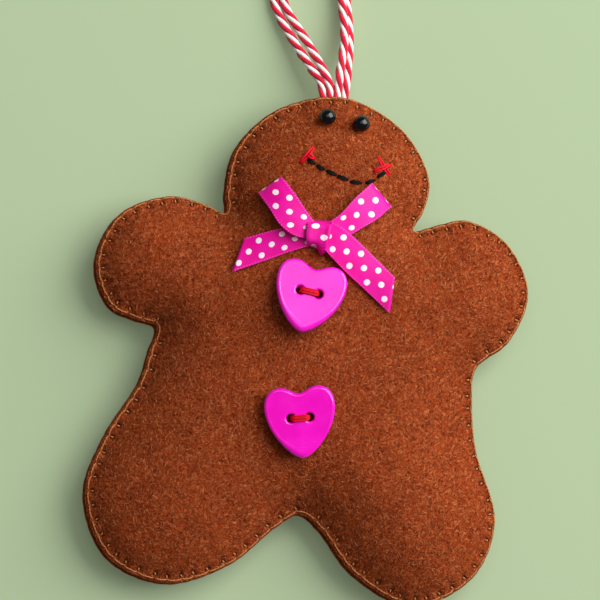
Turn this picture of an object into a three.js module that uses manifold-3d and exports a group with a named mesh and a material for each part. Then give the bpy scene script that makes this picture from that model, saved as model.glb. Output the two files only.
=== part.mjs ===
// A hand-sewn felt gingerbread figure that hangs by a twine loop, lying on its back.
// Millimetres: +X to the right as seen from the front, +Y to the head, +Z up, the back resting on Z = 0.
import * as THREE from "three";
import { mergeVertices } from "three/addons/utils/BufferGeometryUtils.js";
import Module from "manifold-3d";

const wasm = await Module();
wasm.setup();

// Clearances
const CLEARANCE = 0.3; // between pieces that lie on each other
const TURN_CLEARANCE = 0.4; // round the thread in a button's hole
const THREAD_SLACK = 0.9; // between the felt and a thread's run inside

// Felt body
const FIGURE_WIDTH = 88.4; // from arm to arm
const FIGURE_HEIGHT = 102; // from feet to crown
const FELT_THICKNESS = 1.2;
const FRONT_PUFF = 10; // how far the stuffing lifts the front
const BACK_PUFF = 5.6; // how far it lowers the back
const PUFF_REACH = 10; // distance from the seam over which the felt rises
const PUFF_POWER = 1.25; // over 1, the felt leaves the seam flat
const FLAT_CUT = 0.5; // how much of the back is pressed flat where it lies
const BACK_SHIFT_X = -0.5; // the back is cut a little off the front
const BACK_SHIFT_Y = -0.4;
const STUFFING_INSET = 2.4; // from the seam to the stuffing

// Blanket stitch along the edge
const STITCH_PITCH = 3.1;
const STITCH_DEPTH = 2; // from the edge to where a bar enters the felt
const STITCH_THREAD = 0.5;

// Eyes
const BEAD_DIAMETER = 3.4;
const BEAD_BORE = 1;
const BEAD_THREAD = 0.4;

// Floss of the mouth and cheeks
const MOUTH_FLOSS = 0.7;
const DASH_LENGTH = 1.9;
const CHEEK_FLOSS = 0.8;

// Ribbon bow
const RIBBON_WIDTH = 6;
const RIBBON_THICKNESS = 0.4;
const LOOP_BULGE = 3.4; // height of a bow loop over its lower layer
const KNOT_WIDTH = 5.4;
const KNOT_LENGTH = 6.4;
const KNOT_HEIGHT = 3.8;
const TAIL_LENGTH = 18; // from the knot to the slant cut
const TACK_THREAD = 0.5;

// Heart buttons
const BUTTON_WIDTH = 14.4;
const BUTTON_HEIGHT = 15;
const BUTTON_THICKNESS = 2.6;
const BUTTON_ROUND = 0.5; // rounding of the rim
const HOLE_DIAMETER = 1.8;
const HOLE_SPACING = 3.8;
const BUTTON_DROP = 2.2; // from the bow's knot to the upper button
const BUTTON_THREAD = HOLE_DIAMETER - 2 * TURN_CLEARANCE;

// Twine
const TWINE_DIAMETER = 1.8;
const TWINE_PITCH = TWINE_DIAMETER + CLEARANCE; // strands lie side by side
const ROOT_LENGTH = 2.6; // from the edge of the head to the bend of the loop
const KNOT_INSIDE = 10; // from the edge of the head to the knot of the tucked ends
const TWINE_KNOT_DIAMETER = 5;

// How finely round things are divided
const POINTS_PER_ANCHOR = 3;
const THREAD_SIDES = 5;
const TWINE_SIDES = 8;

const LOOKS = {
  felt: { color: 0x84451f, roughness: 0.95, metalness: 0 },
  stuffing: { color: 0xeeeae0, roughness: 1, metalness: 0 },
  caramelThread: { color: 0xa8682c, roughness: 0.7, metalness: 0 },
  blackBead: { color: 0x0b0c0e, roughness: 0.12, metalness: 0 },
  blackFloss: { color: 0x131112, roughness: 0.7, metalness: 0 },
  redFloss: { color: 0xc4182a, roughness: 0.6, metalness: 0 },
  pinkSatin: { color: 0xd42a8c, roughness: 0.4, metalness: 0 },
  magentaPlastic: { color: 0xee1fb4, roughness: 0.2, metalness: 0 },
  twine: { color: 0xd8505c, roughness: 0.85, metalness: 0 },
};

const ornament = new THREE.Group();

function addMesh(name, geometry, look, parent = ornament) {
  const mesh = new THREE.Mesh(geometry, new THREE.MeshStandardMaterial(LOOKS[look]));
  mesh.name = name;
  parent.add(mesh);
  return mesh;
}

// Joining and cutting closed meshes
function solidOf(geometry) {
  const bare = new THREE.BufferGeometry();
  bare.setAttribute("position", geometry.getAttribute("position"));
  bare.setIndex(geometry.index);
  const merged = mergeVertices(bare, 1e-4);
  return new wasm.Manifold(
    new wasm.Mesh({
      numProp: 3,
      vertProperties: merged.getAttribute("position").array,
      triVerts: new Uint32Array(merged.index.array),
    }),
  );
}

function geometryOf(solid) {
  const made = solid.getMesh();
  const geometry = new THREE.BufferGeometry();
  geometry.setAttribute("position", new THREE.BufferAttribute(made.vertProperties, 3));
  geometry.setIndex(new THREE.BufferAttribute(made.triVerts, 1));
  return geometry;
}

function joined(geometries) {
  return geometryOf(geometries.map(solidOf).reduce((all, next) => all.add(next)));
}

function cutBy(geometry, cutters) {
  return geometryOf(cutters.map(solidOf).reduce((rest, next) => rest.subtract(next), solidOf(geometry)));
}

function indexedGeometry(positions, faces) {
  const geometry = new THREE.BufferGeometry();
  geometry.setAttribute("position", new THREE.Float32BufferAttribute(positions, 3));
  geometry.setIndex(faces);
  return geometry;
}

// Outline of the felt, drawn by hand with the figure upright, then stretched to its width and height
const PATTERN = [
  [1.2, 50.8], // crown
  [-11.2, 46.7],
  [-18.3, 38.2],
  [-19.5, 29.2],
  [-19.9, 25.9], // left side of the neck
  [-23.8, 26.7],
  [-30.6, 27.6],
  [-40.6, 22.9],
  [-44.4, 12.6], // left hand
  [-40.7, 4.1],
  [-35.4, 2],
  [-31.3, 0.5], // left armpit
  [-32, -4],
  [-33.4, -10.4],
  [-39.4, -22.1],
  [-42.4, -34.2],
  [-36.7, -46.6],
  [-24.4, -50.9], // left foot
  [-12, -46.1],
  [-3, -37.4],
  [1.5, -34.6], // between the legs
  [5.7, -37.3],
  [13.2, -45.6],
  [26, -51], // right foot
  [37.4, -44.2],
  [40.9, -32.5],
  [35.7, -18.2],
  [34.1, -8.8],
  [34.2, -1.8], // right armpit
  [40.3, 4.2],
  [43.4, 14.4], // right hand
  [38.1, 24.2],
  [29.6, 28.1],
  [24.4, 26.8],
  [19.4, 25.6], // right side of the neck
  [20.8, 29.3],
  [21.4, 35.4],
  [16.7, 43.6],
  [9.5, 48.7],
];

const drawn = new THREE.CatmullRomCurve3(
  PATTERN.map(([x, y]) => new THREE.Vector3(x, y, 0)),
  true,
  "centripetal",
);
const drawnPoints = drawn.getPoints(PATTERN.length * POINTS_PER_ANCHOR).slice(0, -1);
const drawnBox = new THREE.Box3().setFromPoints(drawnPoints);
const drawnMiddle = drawnBox.getCenter(new THREE.Vector3());
const drawnSize = drawnBox.getSize(new THREE.Vector3());

// A point of the drawing on the figure
function onFigure(x, y) {
  return new THREE.Vector2(
    ((x - drawnMiddle.x) * FIGURE_WIDTH) / drawnSize.x,
    ((y - drawnMiddle.y) * FIGURE_HEIGHT) / drawnSize.y,
  );
}

const outline = drawnPoints.map((p) => onFigure(p.x, p.y));
const outlineNormals = outline.map((_, i) => {
  const before = outline[(i + outline.length - 1) % outline.length];
  const after = outline[(i + 1) % outline.length];
  return new THREE.Vector2(after.y - before.y, before.x - after.x).normalize();
});
const middle = onFigure(2.5, 5.3); // every point of the outline is in sight of it
const backShift = new THREE.Vector2(BACK_SHIFT_X, BACK_SHIFT_Y);
const twinePlace = onFigure(0.7, PATTERN[0][1]);

// Distance from the seam, smoothed so that a limb has no ridge: exact beside a straight edge
function seamDistance(x, y) {
  const leastSquare = 1e-9;
  let nearness = 0;
  outline.forEach((a, i) => {
    const b = outline[(i + 1) % outline.length];
    const length = a.distanceTo(b);
    const along = ((x - a.x) * (b.x - a.x) + (y - a.y) * (b.y - a.y)) / length;
    const across = ((x - a.x) * (b.y - a.y) - (y - a.y) * (b.x - a.x)) / length;
    const square = Math.max(across * across, leastSquare);
    const reach = (s) => s / Math.sqrt(square + s * s);
    nearness += (reach(along) + reach(length - along)) / square;
  });
  return Math.sqrt(2 / nearness);
}

// How far the felt has risen at a point, from 0 at the seam to 1
function puffShare(x, y) {
  return 1 - Math.exp(-((seamDistance(x, y) / PUFF_REACH) ** PUFF_POWER));
}

function puffSlope(x, y) {
  const step = 0.05;
  return Math.hypot(
    puffShare(x + step, y) - puffShare(x - step, y),
    puffShare(x, y + step) - puffShare(x, y - step),
  ) / (2 * step);
}

// The seam opens round the four strands of twine at the crown
const twineHalfBand = 2 * TWINE_PITCH;
const twineLift = (TWINE_DIAMETER + CLEARANCE) / 2;

function overTwine(x, y) {
  const beside = Math.max(0, Math.abs(x - twinePlace.x) - twineHalfBand);
  return y > 0 ? 1 - THREE.MathUtils.smoothstep(beside, 0, twineHalfBand) : 0;
}

function seamLift(x, y) {
  return twineLift * overTwine(x, y) * Math.exp(-((seamDistance(x, y) / twineHalfBand) ** 2));
}

// Plan of the body: rings of points from the edge to the middle
function insetRing(distance) {
  return outline.map((p, i) => p.clone().addScaledVector(outlineNormals[i], -distance));
}

const innerRing = insetRing(2.2 * STUFFING_INSET);
const plan = [
  outline,
  insetRing(0.4 * STUFFING_INSET),
  insetRing(STUFFING_INSET),
  innerRing,
  ...[0.74, 0.4].map((share) => innerRing.map((p) => middle.clone().lerp(p, share))),
  [middle],
];
const fullest = Math.max(...plan.flat().map((p) => puffShare(p.x, p.y)));
const seamHeight = CLEARANCE / 2 + FELT_THICKNESS + BACK_PUFF * fullest - FLAT_CUT;
const frontSeam = seamHeight + CLEARANCE / 2;
const backSeam = seamHeight - CLEARANCE / 2;

// Heights of the four felt surfaces
function frontTop(x, y) {
  return frontSeam + FELT_THICKNESS + FRONT_PUFF * puffShare(x, y) + seamLift(x, y);
}

function frontBottom(x, y) {
  const steepness = Math.hypot(1, FRONT_PUFF * puffSlope(x, y));
  return Math.max(frontSeam + seamLift(x, y), frontTop(x, y) - FELT_THICKNESS * steepness);
}

function fullBackBottom(x, y) {
  return backSeam - FELT_THICKNESS - BACK_PUFF * puffShare(x, y) - seamLift(x, y);
}

function backBottom(x, y) {
  return Math.max(0, fullBackBottom(x, y));
}

function backTop(x, y) {
  const steepness = Math.hypot(1, BACK_PUFF * puffSlope(x, y));
  return Math.min(backSeam - seamLift(x, y), fullBackBottom(x, y) + FELT_THICKNESS * steepness);
}

// A closed solid over rings of plan points, between a top and a bottom height
function paddedGeometry(rings, topAt, bottomAt) {
  const positions = [];
  const faces = [];
  const [top, bottom] = [topAt, bottomAt].map((heightAt) =>
    rings.map((ring) =>
      ring.map((p) => {
        positions.push(p.x, p.y, heightAt(p.x, p.y));
        return positions.length / 3 - 1;
      }),
    ),
  );
  const at = (ring, i) => ring[i % ring.length];
  const addQuad = (a, b, c, d) => {
    if (b !== c) faces.push(a, b, c);
    if (c !== d) faces.push(a, c, d);
  };
  rings[0].forEach((_, i) => {
    addQuad(at(bottom[0], i), at(bottom[0], i + 1), at(top[0], i + 1), at(top[0], i));
    for (let r = 0; r + 1 < rings.length; r += 1) {
      addQuad(at(top[r], i), at(top[r], i + 1), at(top[r + 1], i + 1), at(top[r + 1], i));
      addQuad(at(bottom[r], i), at(bottom[r + 1], i), at(bottom[r + 1], i + 1), at(bottom[r], i + 1));
    }
  });
  return indexedGeometry(positions, faces);
}

// A round thread or strand through hand-placed points
function tubeGeometry(points, diameter, steps, sides = THREAD_SIDES) {
  const corners = Array.from({ length: sides }, (_, i) => {
    const angle = (2 * Math.PI * i) / sides;
    return new THREE.Vector2(Math.cos(angle), Math.sin(angle)).multiplyScalar(diameter / 2);
  });
  return new THREE.ExtrudeGeometry(new THREE.Shape(corners), {
    steps,
    extrudePath: new THREE.CatmullRomCurve3(points, false, "centripetal"),
  });
}

function ballGeometry(centre, diameter, sides) {
  return new THREE.SphereGeometry(diameter / 2, sides, sides / 2 + 1).translate(...centre.toArray());
}

// A place on the front of the figure, with its own Z square to the felt
function seatOn(place, turn) {
  const step = 0.5;
  const slopeX = (frontTop(place.x + step, place.y) - frontTop(place.x - step, place.y)) / (2 * step);
  const slopeY = (frontTop(place.x, place.y + step) - frontTop(place.x, place.y - step)) / (2 * step);
  const normal = new THREE.Vector3(-slopeX, -slopeY, 1).normalize();
  const seat = new THREE.Group();
  seat.position.set(place.x, place.y, frontTop(place.x, place.y));
  seat.quaternion.setFromUnitVectors(new THREE.Vector3(0, 0, 1), normal);
  seat.rotateZ(THREE.MathUtils.degToRad(turn));
  seat.updateMatrix();
  ornament.add(seat);
  return seat;
}

// Route of a thread that comes up through the felt, runs over to the other side and goes down again
function stapleRoute(halfSpan, barHeight, diameter) {
  const under = -(FELT_THICKNESS + THREAD_SLACK + diameter / 2);
  const bend = diameter;
  const half = [
    [diameter, under],
    [halfSpan - bend, under],
    [halfSpan, under + bend],
    [halfSpan, (under + barHeight) / 2],
    [halfSpan, barHeight - bend],
    [halfSpan - bend, barHeight],
  ];
  return [
    ...half.map(([x, z]) => new THREE.Vector3(-x, 0, z)),
    ...half.reverse().map(([x, z]) => new THREE.Vector3(x, 0, z)),
  ];
}

// Room for a straight stretch of thread, with the ends left clear too
function wayGeometry(from, to, diameter) {
  const room = diameter / 2 + CLEARANCE;
  const along = to.clone().sub(from).setLength(room);
  return tubeGeometry([from.clone().sub(along), to.clone().add(along)], 2 * room, 1);
}

// Room for a thread's run inside, along X and open up to the felt
function pocketGeometry(length, diameter) {
  const room = diameter / 2 + 2 * CLEARANCE;
  const height = 2 * room + THREAD_SLACK + FELT_THICKNESS;
  return new THREE.BoxGeometry(length + 2 * room, 2 * room, height).translate(0, 0, height / 2 - room);
}

const feltWays = []; // holes and pits in the front felt
const stuffingWays = []; // pockets in the stuffing

// A sewn staple on a seat: adds its mesh and its ways, and returns its way over the felt
function sewStaple(name, look, seat, halfSpan, barHeight, diameter) {
  const steps = 18;
  const route = stapleRoute(halfSpan, barHeight, diameter);
  addMesh(name, tubeGeometry(route, diameter, steps), look, seat);
  const under = route[0].z;
  const corner = (side, z) => new THREE.Vector3(side * halfSpan, 0, z).applyMatrix4(seat.matrix);
  const legs = [-1, 1].map((side) => wayGeometry(corner(side, under), corner(side, barHeight), diameter));
  feltWays.push(...legs);
  const pocket = pocketGeometry(2 * halfSpan, diameter).translate(0, 0, under);
  stuffingWays.push(pocket.applyMatrix4(seat.matrix));
  return [...legs, wayGeometry(corner(-1, barHeight), corner(1, barHeight), diameter)];
}

// Eyes: beads on threads that pass through their bores
const beadCentre = CLEARANCE + BEAD_DIAMETER / 2;
const boreLatitude = Math.PI / 2 - Math.asin(BEAD_BORE / BEAD_DIAMETER);
const beadArc = new THREE.Path().absarc(0, 0, BEAD_DIAMETER / 2, -boreLatitude, boreLatitude);
const beadProfile = beadArc.getPoints(4);
beadProfile.push(beadProfile[0].clone());

for (const [side, x, y] of [["left", -0.3, 45.7], ["right", 6.1, 45.2]]) {
  const seat = seatOn(onFigure(x, y), 0);
  const bead = addMesh(side + "_eye_bead", new THREE.LatheGeometry(beadProfile, 10), "blackBead", seat);
  bead.position.z = beadCentre;
  bead.rotation.z = Math.PI / 2;
  const legs = (BEAD_DIAMETER + BEAD_THREAD) / 2 + CLEARANCE;
  sewStaple(side + "_eye_thread", "blackFloss", seat, legs, beadCentre, BEAD_THREAD);
}

// Mouth: one floss thread that rises at each dash and dips into the felt between dashes
const DASHES = [
  [-2.7, 37.2],
  [-0.6, 36.2],
  [1.6, 35.3],
  [4, 34.5],
  [6.7, 33.9],
  [9.4, 34.2],
  [11.5, 35.5],
].map(([x, y]) => onFigure(x, y));

function onFelt(place, height) {
  return new THREE.Vector3(place.x, place.y, frontTop(place.x, place.y) + height);
}

const mouthRise = CLEARANCE + MOUTH_FLOSS / 2;
const mouthDip = -MOUTH_FLOSS / 2;
const dashEnds = DASHES.map((place, i) => {
  const before = DASHES[Math.max(i - 1, 0)];
  const after = DASHES[Math.min(i + 1, DASHES.length - 1)];
  const along = after.clone().sub(before).setLength(DASH_LENGTH / 2);
  return [place.clone().sub(along), place.clone().add(along)];
});
const dashRoutes = dashEnds.map(([start, end]) => [
  onFelt(start, mouthDip),
  onFelt(start.clone().lerp(end, 0.3), mouthRise),
  onFelt(start.clone().lerp(end, 0.7), mouthRise),
  onFelt(end, mouthDip),
]);
const mouthRoute = dashRoutes.flat();
addMesh("mouth_thread", tubeGeometry(mouthRoute, MOUTH_FLOSS, 6 * DASHES.length), "blackFloss");
dashRoutes.slice(1).forEach((dash, i) => {
  feltWays.push(wayGeometry(dashRoutes[i].at(-1), dash[0], MOUTH_FLOSS));
});
for (const [end, next] of [mouthRoute.slice(0, 2), mouthRoute.slice(-2).reverse()]) {
  feltWays.push(wayGeometry(end, end.clone().lerp(next, 0.1), MOUTH_FLOSS));
}

// Cheeks: one floss thread each, up and over a stroke, down, along inside and back across the stroke
function crossRoute(strokes, diameter) {
  const over = CLEARANCE + diameter / 2;
  const under = -(FELT_THICKNESS + THREAD_SLACK + diameter / 2);
  const depths = [[-FELT_THICKNESS, under], [under, -FELT_THICKNESS]];
  return strokes.flatMap(([start, end], i) => {
    const bar = over + i * (diameter + CLEARANCE);
    const inward = end.clone().sub(start).setLength(diameter);
    return [
      onFelt(start, depths[i][0]),
      onFelt(start, over - diameter),
      onFelt(start.clone().add(inward), bar),
      onFelt(end.clone().sub(inward), bar),
      onFelt(end, over - diameter),
      onFelt(end, depths[i][1]),
    ];
  });
}

const CHEEKS = [
  ["left", [[-5.6, 36.8], [-2.8, 40.8]], [[-2.6, 38.4], [-5.8, 39.6]]],
  ["right", [[10.6, 39.8], [13.8, 36.4]], [[10.6, 36.9], [13.8, 38.8]]],
];
for (const [side, ...strokes] of CHEEKS) {
  const placed = strokes.map((stroke) => stroke.map(([x, y]) => onFigure(x, y)));
  const route = crossRoute(placed, CHEEK_FLOSS);
  addMesh(side + "_cheek_thread", tubeGeometry(route, CHEEK_FLOSS, 30), "redFloss");
  const legs = [0, 4, 6, 10].map((i) => wayGeometry(route[i], route[i + 1], CHEEK_FLOSS));
  feltWays.push(...legs);
  const [from, to] = [route[5], route[6]].sort((a, b) => a.x - b.x);
  const run = to.clone().sub(from);
  const pocket = pocketGeometry(run.length(), CHEEK_FLOSS);
  const alongX = new THREE.Vector3(1, 0, 0);
  pocket.applyQuaternion(new THREE.Quaternion().setFromUnitVectors(alongX, run.normalize()));
  stuffingWays.push(pocket.translate(...from.lerp(to, 0.5).toArray()));
}

// Ribbon: a strip over the felt whose side profile is a list of [distance, height over the felt]
const ribbonLow = 2 * CLEARANCE + RIBBON_THICKNESS; // where the ribbon lies on the felt
const gatheredWidth = 0.6 * RIBBON_WIDTH; // at the knot

function stripGeometry(start, end, profile, widths, slant = 0) {
  const ahead = end.clone().sub(start).normalize();
  const across = new THREE.Vector2(-ahead.y, ahead.x);
  const positions = [];
  const faces = [];
  profile.forEach(([distance, height], i) => {
    const before = profile[Math.max(i - 1, 0)];
    const after = profile[Math.min(i + 1, profile.length - 1)];
    const run = new THREE.Vector2(after[0] - before[0], after[1] - before[1]);
    run.setLength(RIBBON_THICKNESS / 2);
    for (const [edge, face] of [[-1, -1], [1, -1], [1, 1], [-1, 1]]) {
      const isEnd = i === profile.length - 1;
      const reach = distance - face * run.y + (isEnd ? edge * slant : 0);
      const place = start.clone().addScaledVector(ahead, reach);
      place.addScaledVector(across, (edge * widths[i]) / 2);
      positions.push(...onFelt(place, height + face * run.x).toArray());
    }
    if (i > 0) {
      for (let k = 0; k < 4; k += 1) {
        const [a, b] = [4 * i - 4 + k, 4 * i - 4 + ((k + 1) % 4)];
        faces.push(a, b, a + 4, b, b + 4, a + 4);
      }
    }
  });
  const last = positions.length / 3 - 4;
  faces.push(0, 2, 1, 0, 3, 2);
  faces.push(last, last + 1, last + 2, last, last + 2, last + 3);
  return indexedGeometry(positions, faces);
}

// A loop goes out low, folds at its end and comes back high
function loopGeometry(start, end) {
  const length = start.distanceTo(end);
  const foldRadius = LOOP_BULGE / 3;
  const profile = [
    [0, ribbonLow + foldRadius],
    [0.4 * length, ribbonLow],
    [length - foldRadius, ribbonLow],
    [length - 0.3 * foldRadius, ribbonLow + 0.3 * foldRadius],
    [length, ribbonLow + foldRadius],
    [length - 0.3 * foldRadius, ribbonLow + 1.7 * foldRadius],
    [length - 1.4 * foldRadius, ribbonLow + 2.3 * foldRadius],
    [0.5 * length, ribbonLow + LOOP_BULGE],
    [0.2 * length, ribbonLow + 0.9 * LOOP_BULGE],
    [0, ribbonLow + 0.6 * LOOP_BULGE],
  ];
  const widths = profile.map(([distance]) =>
    THREE.MathUtils.lerp(gatheredWidth, RIBBON_WIDTH, Math.min(1, (2 * distance) / length)),
  );
  return stripGeometry(start, end, profile, widths);
}

// A tail lies in one shallow wave, with its end cut at a slant
function tailGeometry(start, end, slant) {
  const length = start.distanceTo(end);
  const profile = [
    [0, ribbonLow + RIBBON_THICKNESS],
    [0.25 * length, ribbonLow + 2 * RIBBON_THICKNESS],
    [0.5 * length, ribbonLow + RIBBON_THICKNESS],
    [0.75 * length, ribbonLow],
    [length, ribbonLow + RIBBON_THICKNESS],
  ];
  const widths = profile.map((_, i) => (i === 0 ? gatheredWidth : RIBBON_WIDTH));
  return stripGeometry(start, end, profile, widths, slant);
}

const bowPlace = onFigure(1.4, 22.4);

function fromBow(degrees, distance) {
  const angle = THREE.MathUtils.degToRad(degrees);
  return new THREE.Vector2(Math.cos(angle), Math.sin(angle)).multiplyScalar(distance).add(bowPlace);
}

const tailPlace = fromBow(97, KNOT_LENGTH / 4); // the tails come out at the top of the knot
const bowSeat = seatOn(bowPlace, 14);
const knotShape = new THREE.Shape();
knotShape.absellipse(0, 0, KNOT_WIDTH / 2, KNOT_HEIGHT / 2, 0, 2 * Math.PI);
const knotRound = 0.2 * KNOT_LENGTH;
const knotGeometry = new THREE.ExtrudeGeometry(knotShape, {
  depth: KNOT_LENGTH - 2 * knotRound,
  curveSegments: 7,
  bevelThickness: knotRound,
  bevelSize: 0.3 * KNOT_HEIGHT,
  bevelOffset: -0.3 * KNOT_HEIGHT,
  bevelSegments: 2,
});
knotGeometry.translate(0, 0, knotRound - KNOT_LENGTH / 2).rotateX(Math.PI / 2);
knotGeometry.translate(0, 0, CLEARANCE + KNOT_HEIGHT / 2).applyMatrix4(bowSeat.matrix);
const bowSolid = joined([
  knotGeometry,
  loopGeometry(bowPlace, onFigure(-10.5, 31.8)),
  loopGeometry(bowPlace, onFigure(12.3, 31.8)),
  tailGeometry(tailPlace, fromBow(197, TAIL_LENGTH), RIBBON_WIDTH / 4),
  tailGeometry(tailPlace, fromBow(-33, TAIL_LENGTH), -RIBBON_WIDTH / 4),
]);
const tackWays = sewStaple(
  "bow_tack_thread",
  "pinkSatin",
  bowSeat,
  0.25 * KNOT_WIDTH,
  CLEARANCE + KNOT_HEIGHT / 2,
  TACK_THREAD,
);
addMesh("ribbon_bow", cutBy(bowSolid, tackWays), "pinkSatin");

// Buttons: rounded hearts with two holes, each sewn on by one floss staple
const lobe = 0.43 * BUTTON_HEIGHT; // from the holes to the top of the heart

function heartShape() {
  const half = BUTTON_WIDTH / 2;
  const notch = lobe - 0.09 * BUTTON_HEIGHT;
  const tip = lobe - BUTTON_HEIGHT;
  const shape = new THREE.Shape();
  shape.moveTo(0, tip);
  shape.bezierCurveTo(0.3 * half, tip, half, 0.35 * tip, half, 0.36 * lobe);
  shape.bezierCurveTo(half, 0.8 * lobe, 0.78 * half, lobe, 0.52 * half, lobe);
  shape.bezierCurveTo(0.3 * half, lobe, 0.17 * half, notch, 0, notch);
  shape.bezierCurveTo(-0.17 * half, notch, -0.3 * half, lobe, -0.52 * half, lobe);
  shape.bezierCurveTo(-0.78 * half, lobe, -half, 0.8 * lobe, -half, 0.36 * lobe);
  shape.bezierCurveTo(-half, 0.35 * tip, -0.3 * half, tip, 0, tip);
  return shape;
}

function buttonGeometry() {
  const heart = new THREE.ExtrudeGeometry(heartShape(), {
    depth: BUTTON_THICKNESS - 2 * BUTTON_ROUND,
    curveSegments: 5,
    bevelThickness: BUTTON_ROUND,
    bevelSize: BUTTON_ROUND,
    bevelOffset: -BUTTON_ROUND,
    bevelSegments: 2,
  }).translate(0, 0, BUTTON_ROUND);
  const holes = [-1, 1].map((side) =>
    new THREE.CylinderGeometry(HOLE_DIAMETER / 2, HOLE_DIAMETER / 2, 3 * BUTTON_THICKNESS, 12)
      .rotateX(Math.PI / 2)
      .translate((side * HOLE_SPACING) / 2, 0, 0),
  );
  return cutBy(heart, holes);
}

const underBow = fromBow(-100, KNOT_LENGTH / 2 + BUTTON_DROP + lobe);
for (const [name, place, turn] of [["upper", underBow, -8], ["lower", onFigure(0.1, -14.6), 9.5]]) {
  const seat = seatOn(place, turn);
  const button = addMesh(name + "_heart_button", buttonGeometry(), "magentaPlastic", seat);
  button.position.z = CLEARANCE;
  const bar = CLEARANCE + BUTTON_THICKNESS + CLEARANCE + BUTTON_THREAD / 2;
  sewStaple(name + "_button_thread", "redFloss", seat, HOLE_SPACING / 2, bar, BUTTON_THREAD);
}

// Twine: four ends tucked into the seam at the crown and tied together inside the head
const bend = new THREE.Vector3(twinePlace.x, twinePlace.y + ROOT_LENGTH, seamHeight);
const strandPlaces = [-1.5, -0.5, 0.5, 1.5].map((step) => step * TWINE_PITCH);
const twineKnot = new THREE.Vector3(twinePlace.x, twinePlace.y - KNOT_INSIDE, seamHeight);
const tuckedEnds = strandPlaces.map((x) => {
  const out = new THREE.Vector3(bend.x + x, bend.y - TWINE_DIAMETER / 2 - CLEARANCE, bend.z);
  const edge = new THREE.Vector3(bend.x + x, twinePlace.y - TWINE_DIAMETER, bend.z);
  return [out, edge, edge.clone().lerp(twineKnot, 0.4), twineKnot];
});
const tuckedTubes = tuckedEnds.map((route) => tubeGeometry(route, TWINE_DIAMETER, 4, TWINE_SIDES));
const knotBall = ballGeometry(twineKnot, TWINE_KNOT_DIAMETER, TWINE_SIDES);
addMesh("twine_knot", joined([knotBall, ...tuckedTubes]), "twine");
const tuckedRoom = new THREE.BoxGeometry(
  2 * twineHalfBand + CLEARANCE,
  KNOT_INSIDE,
  TWINE_DIAMETER + 2 * CLEARANCE,
).translate(twinePlace.x, twinePlace.y - KNOT_INSIDE / 2, seamHeight);
stuffingWays.push(ballGeometry(twineKnot, TWINE_KNOT_DIAMETER + 3 * CLEARANCE, TWINE_SIDES), tuckedRoom);

// Routes of the two loops: to the right of the bend, beyond it towards the top, and height over the floor
const OUTER_LOOP = [
  [-5.4, 3, 5.2],
  [-9.1, 7.8, 2.8],
  [-13.4, 16, 1.2],
  [-16.2, 23.6, 1],
  [-15, 30, 1],
  [-9.6, 33.2, 1],
  [-3.6, 30.6, 1],
  [-0.2, 24.4, 1],
  [1.4, 17, 1.2],
  [2.5, 9.4, 2.8],
  [2.9, 3.6, 5.2],
];
const INNER_LOOP = [
  [-3.2, 3.4, 5.2],
  [-6.9, 8.6, 2.8],
  [-11.2, 16.6, 1.2],
  [-13.8, 23.8, 1],
  [-12.9, 28.4, 1],
  [-9.5, 30.7, 1],
  [-5.4, 28.8, 1],
  [-2.3, 23.6, 1],
  [-0.8, 16.6, 1.2],
  [0.4, 9.4, 2.8],
  [0.8, 3.6, 5.2],
];
for (const [name, route, first, last] of [
  ["outer_twine_loop", OUTER_LOOP, 0, 3],
  ["inner_twine_loop", INNER_LOOP, 1, 2],
]) {
  const ends = [first, last].map((i) => bend.clone().setX(bend.x + strandPlaces[i]));
  const between = route.map(([x, y, z]) => new THREE.Vector3(bend.x + x, bend.y + y, z));
  const strand = tubeGeometry([ends[0], ...between, ends[1]], TWINE_DIAMETER, 24, TWINE_SIDES);
  const roundEnds = ends.map((end) => ballGeometry(end, TWINE_DIAMETER, TWINE_SIDES));
  addMesh(name, joined([strand, ...roundEnds]), "twine");
}

// Felt panels and the stuffing between them
const frontGeometry = paddedGeometry(plan, frontTop, frontBottom);
addMesh("front_panel", cutBy(frontGeometry, feltWays), "felt");
const backGeometry = paddedGeometry(plan, backTop, backBottom).translate(backShift.x, backShift.y, 0);
addMesh("back_panel", backGeometry, "felt");

function stuffingTop(x, y) {
  return frontBottom(x, y) - CLEARANCE * Math.hypot(1, FRONT_PUFF * puffSlope(x, y));
}

function stuffingBottom(x, y) {
  const [ownX, ownY] = [x - backShift.x, y - backShift.y];
  return backTop(ownX, ownY) + CLEARANCE * Math.hypot(1, BACK_PUFF * puffSlope(ownX, ownY));
}

const stuffingGeometry = paddedGeometry(plan.slice(2), stuffingTop, stuffingBottom);
addMesh("stuffing", cutBy(stuffingGeometry, stuffingWays), "stuffing");

// Blanket stitch: one closed thread along the edge, with a bar over the front and the back at each stitch
const edgeCurve = new THREE.CatmullRomCurve3(
  outline.map((p) => new THREE.Vector3(p.x, p.y, 0)),
  true,
);
const stitchCount = Math.round(edgeCurve.getLength() / STITCH_PITCH);
const stitchReach = 0.4 / stitchCount; // how far a stitch looks both ways for its direction

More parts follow.
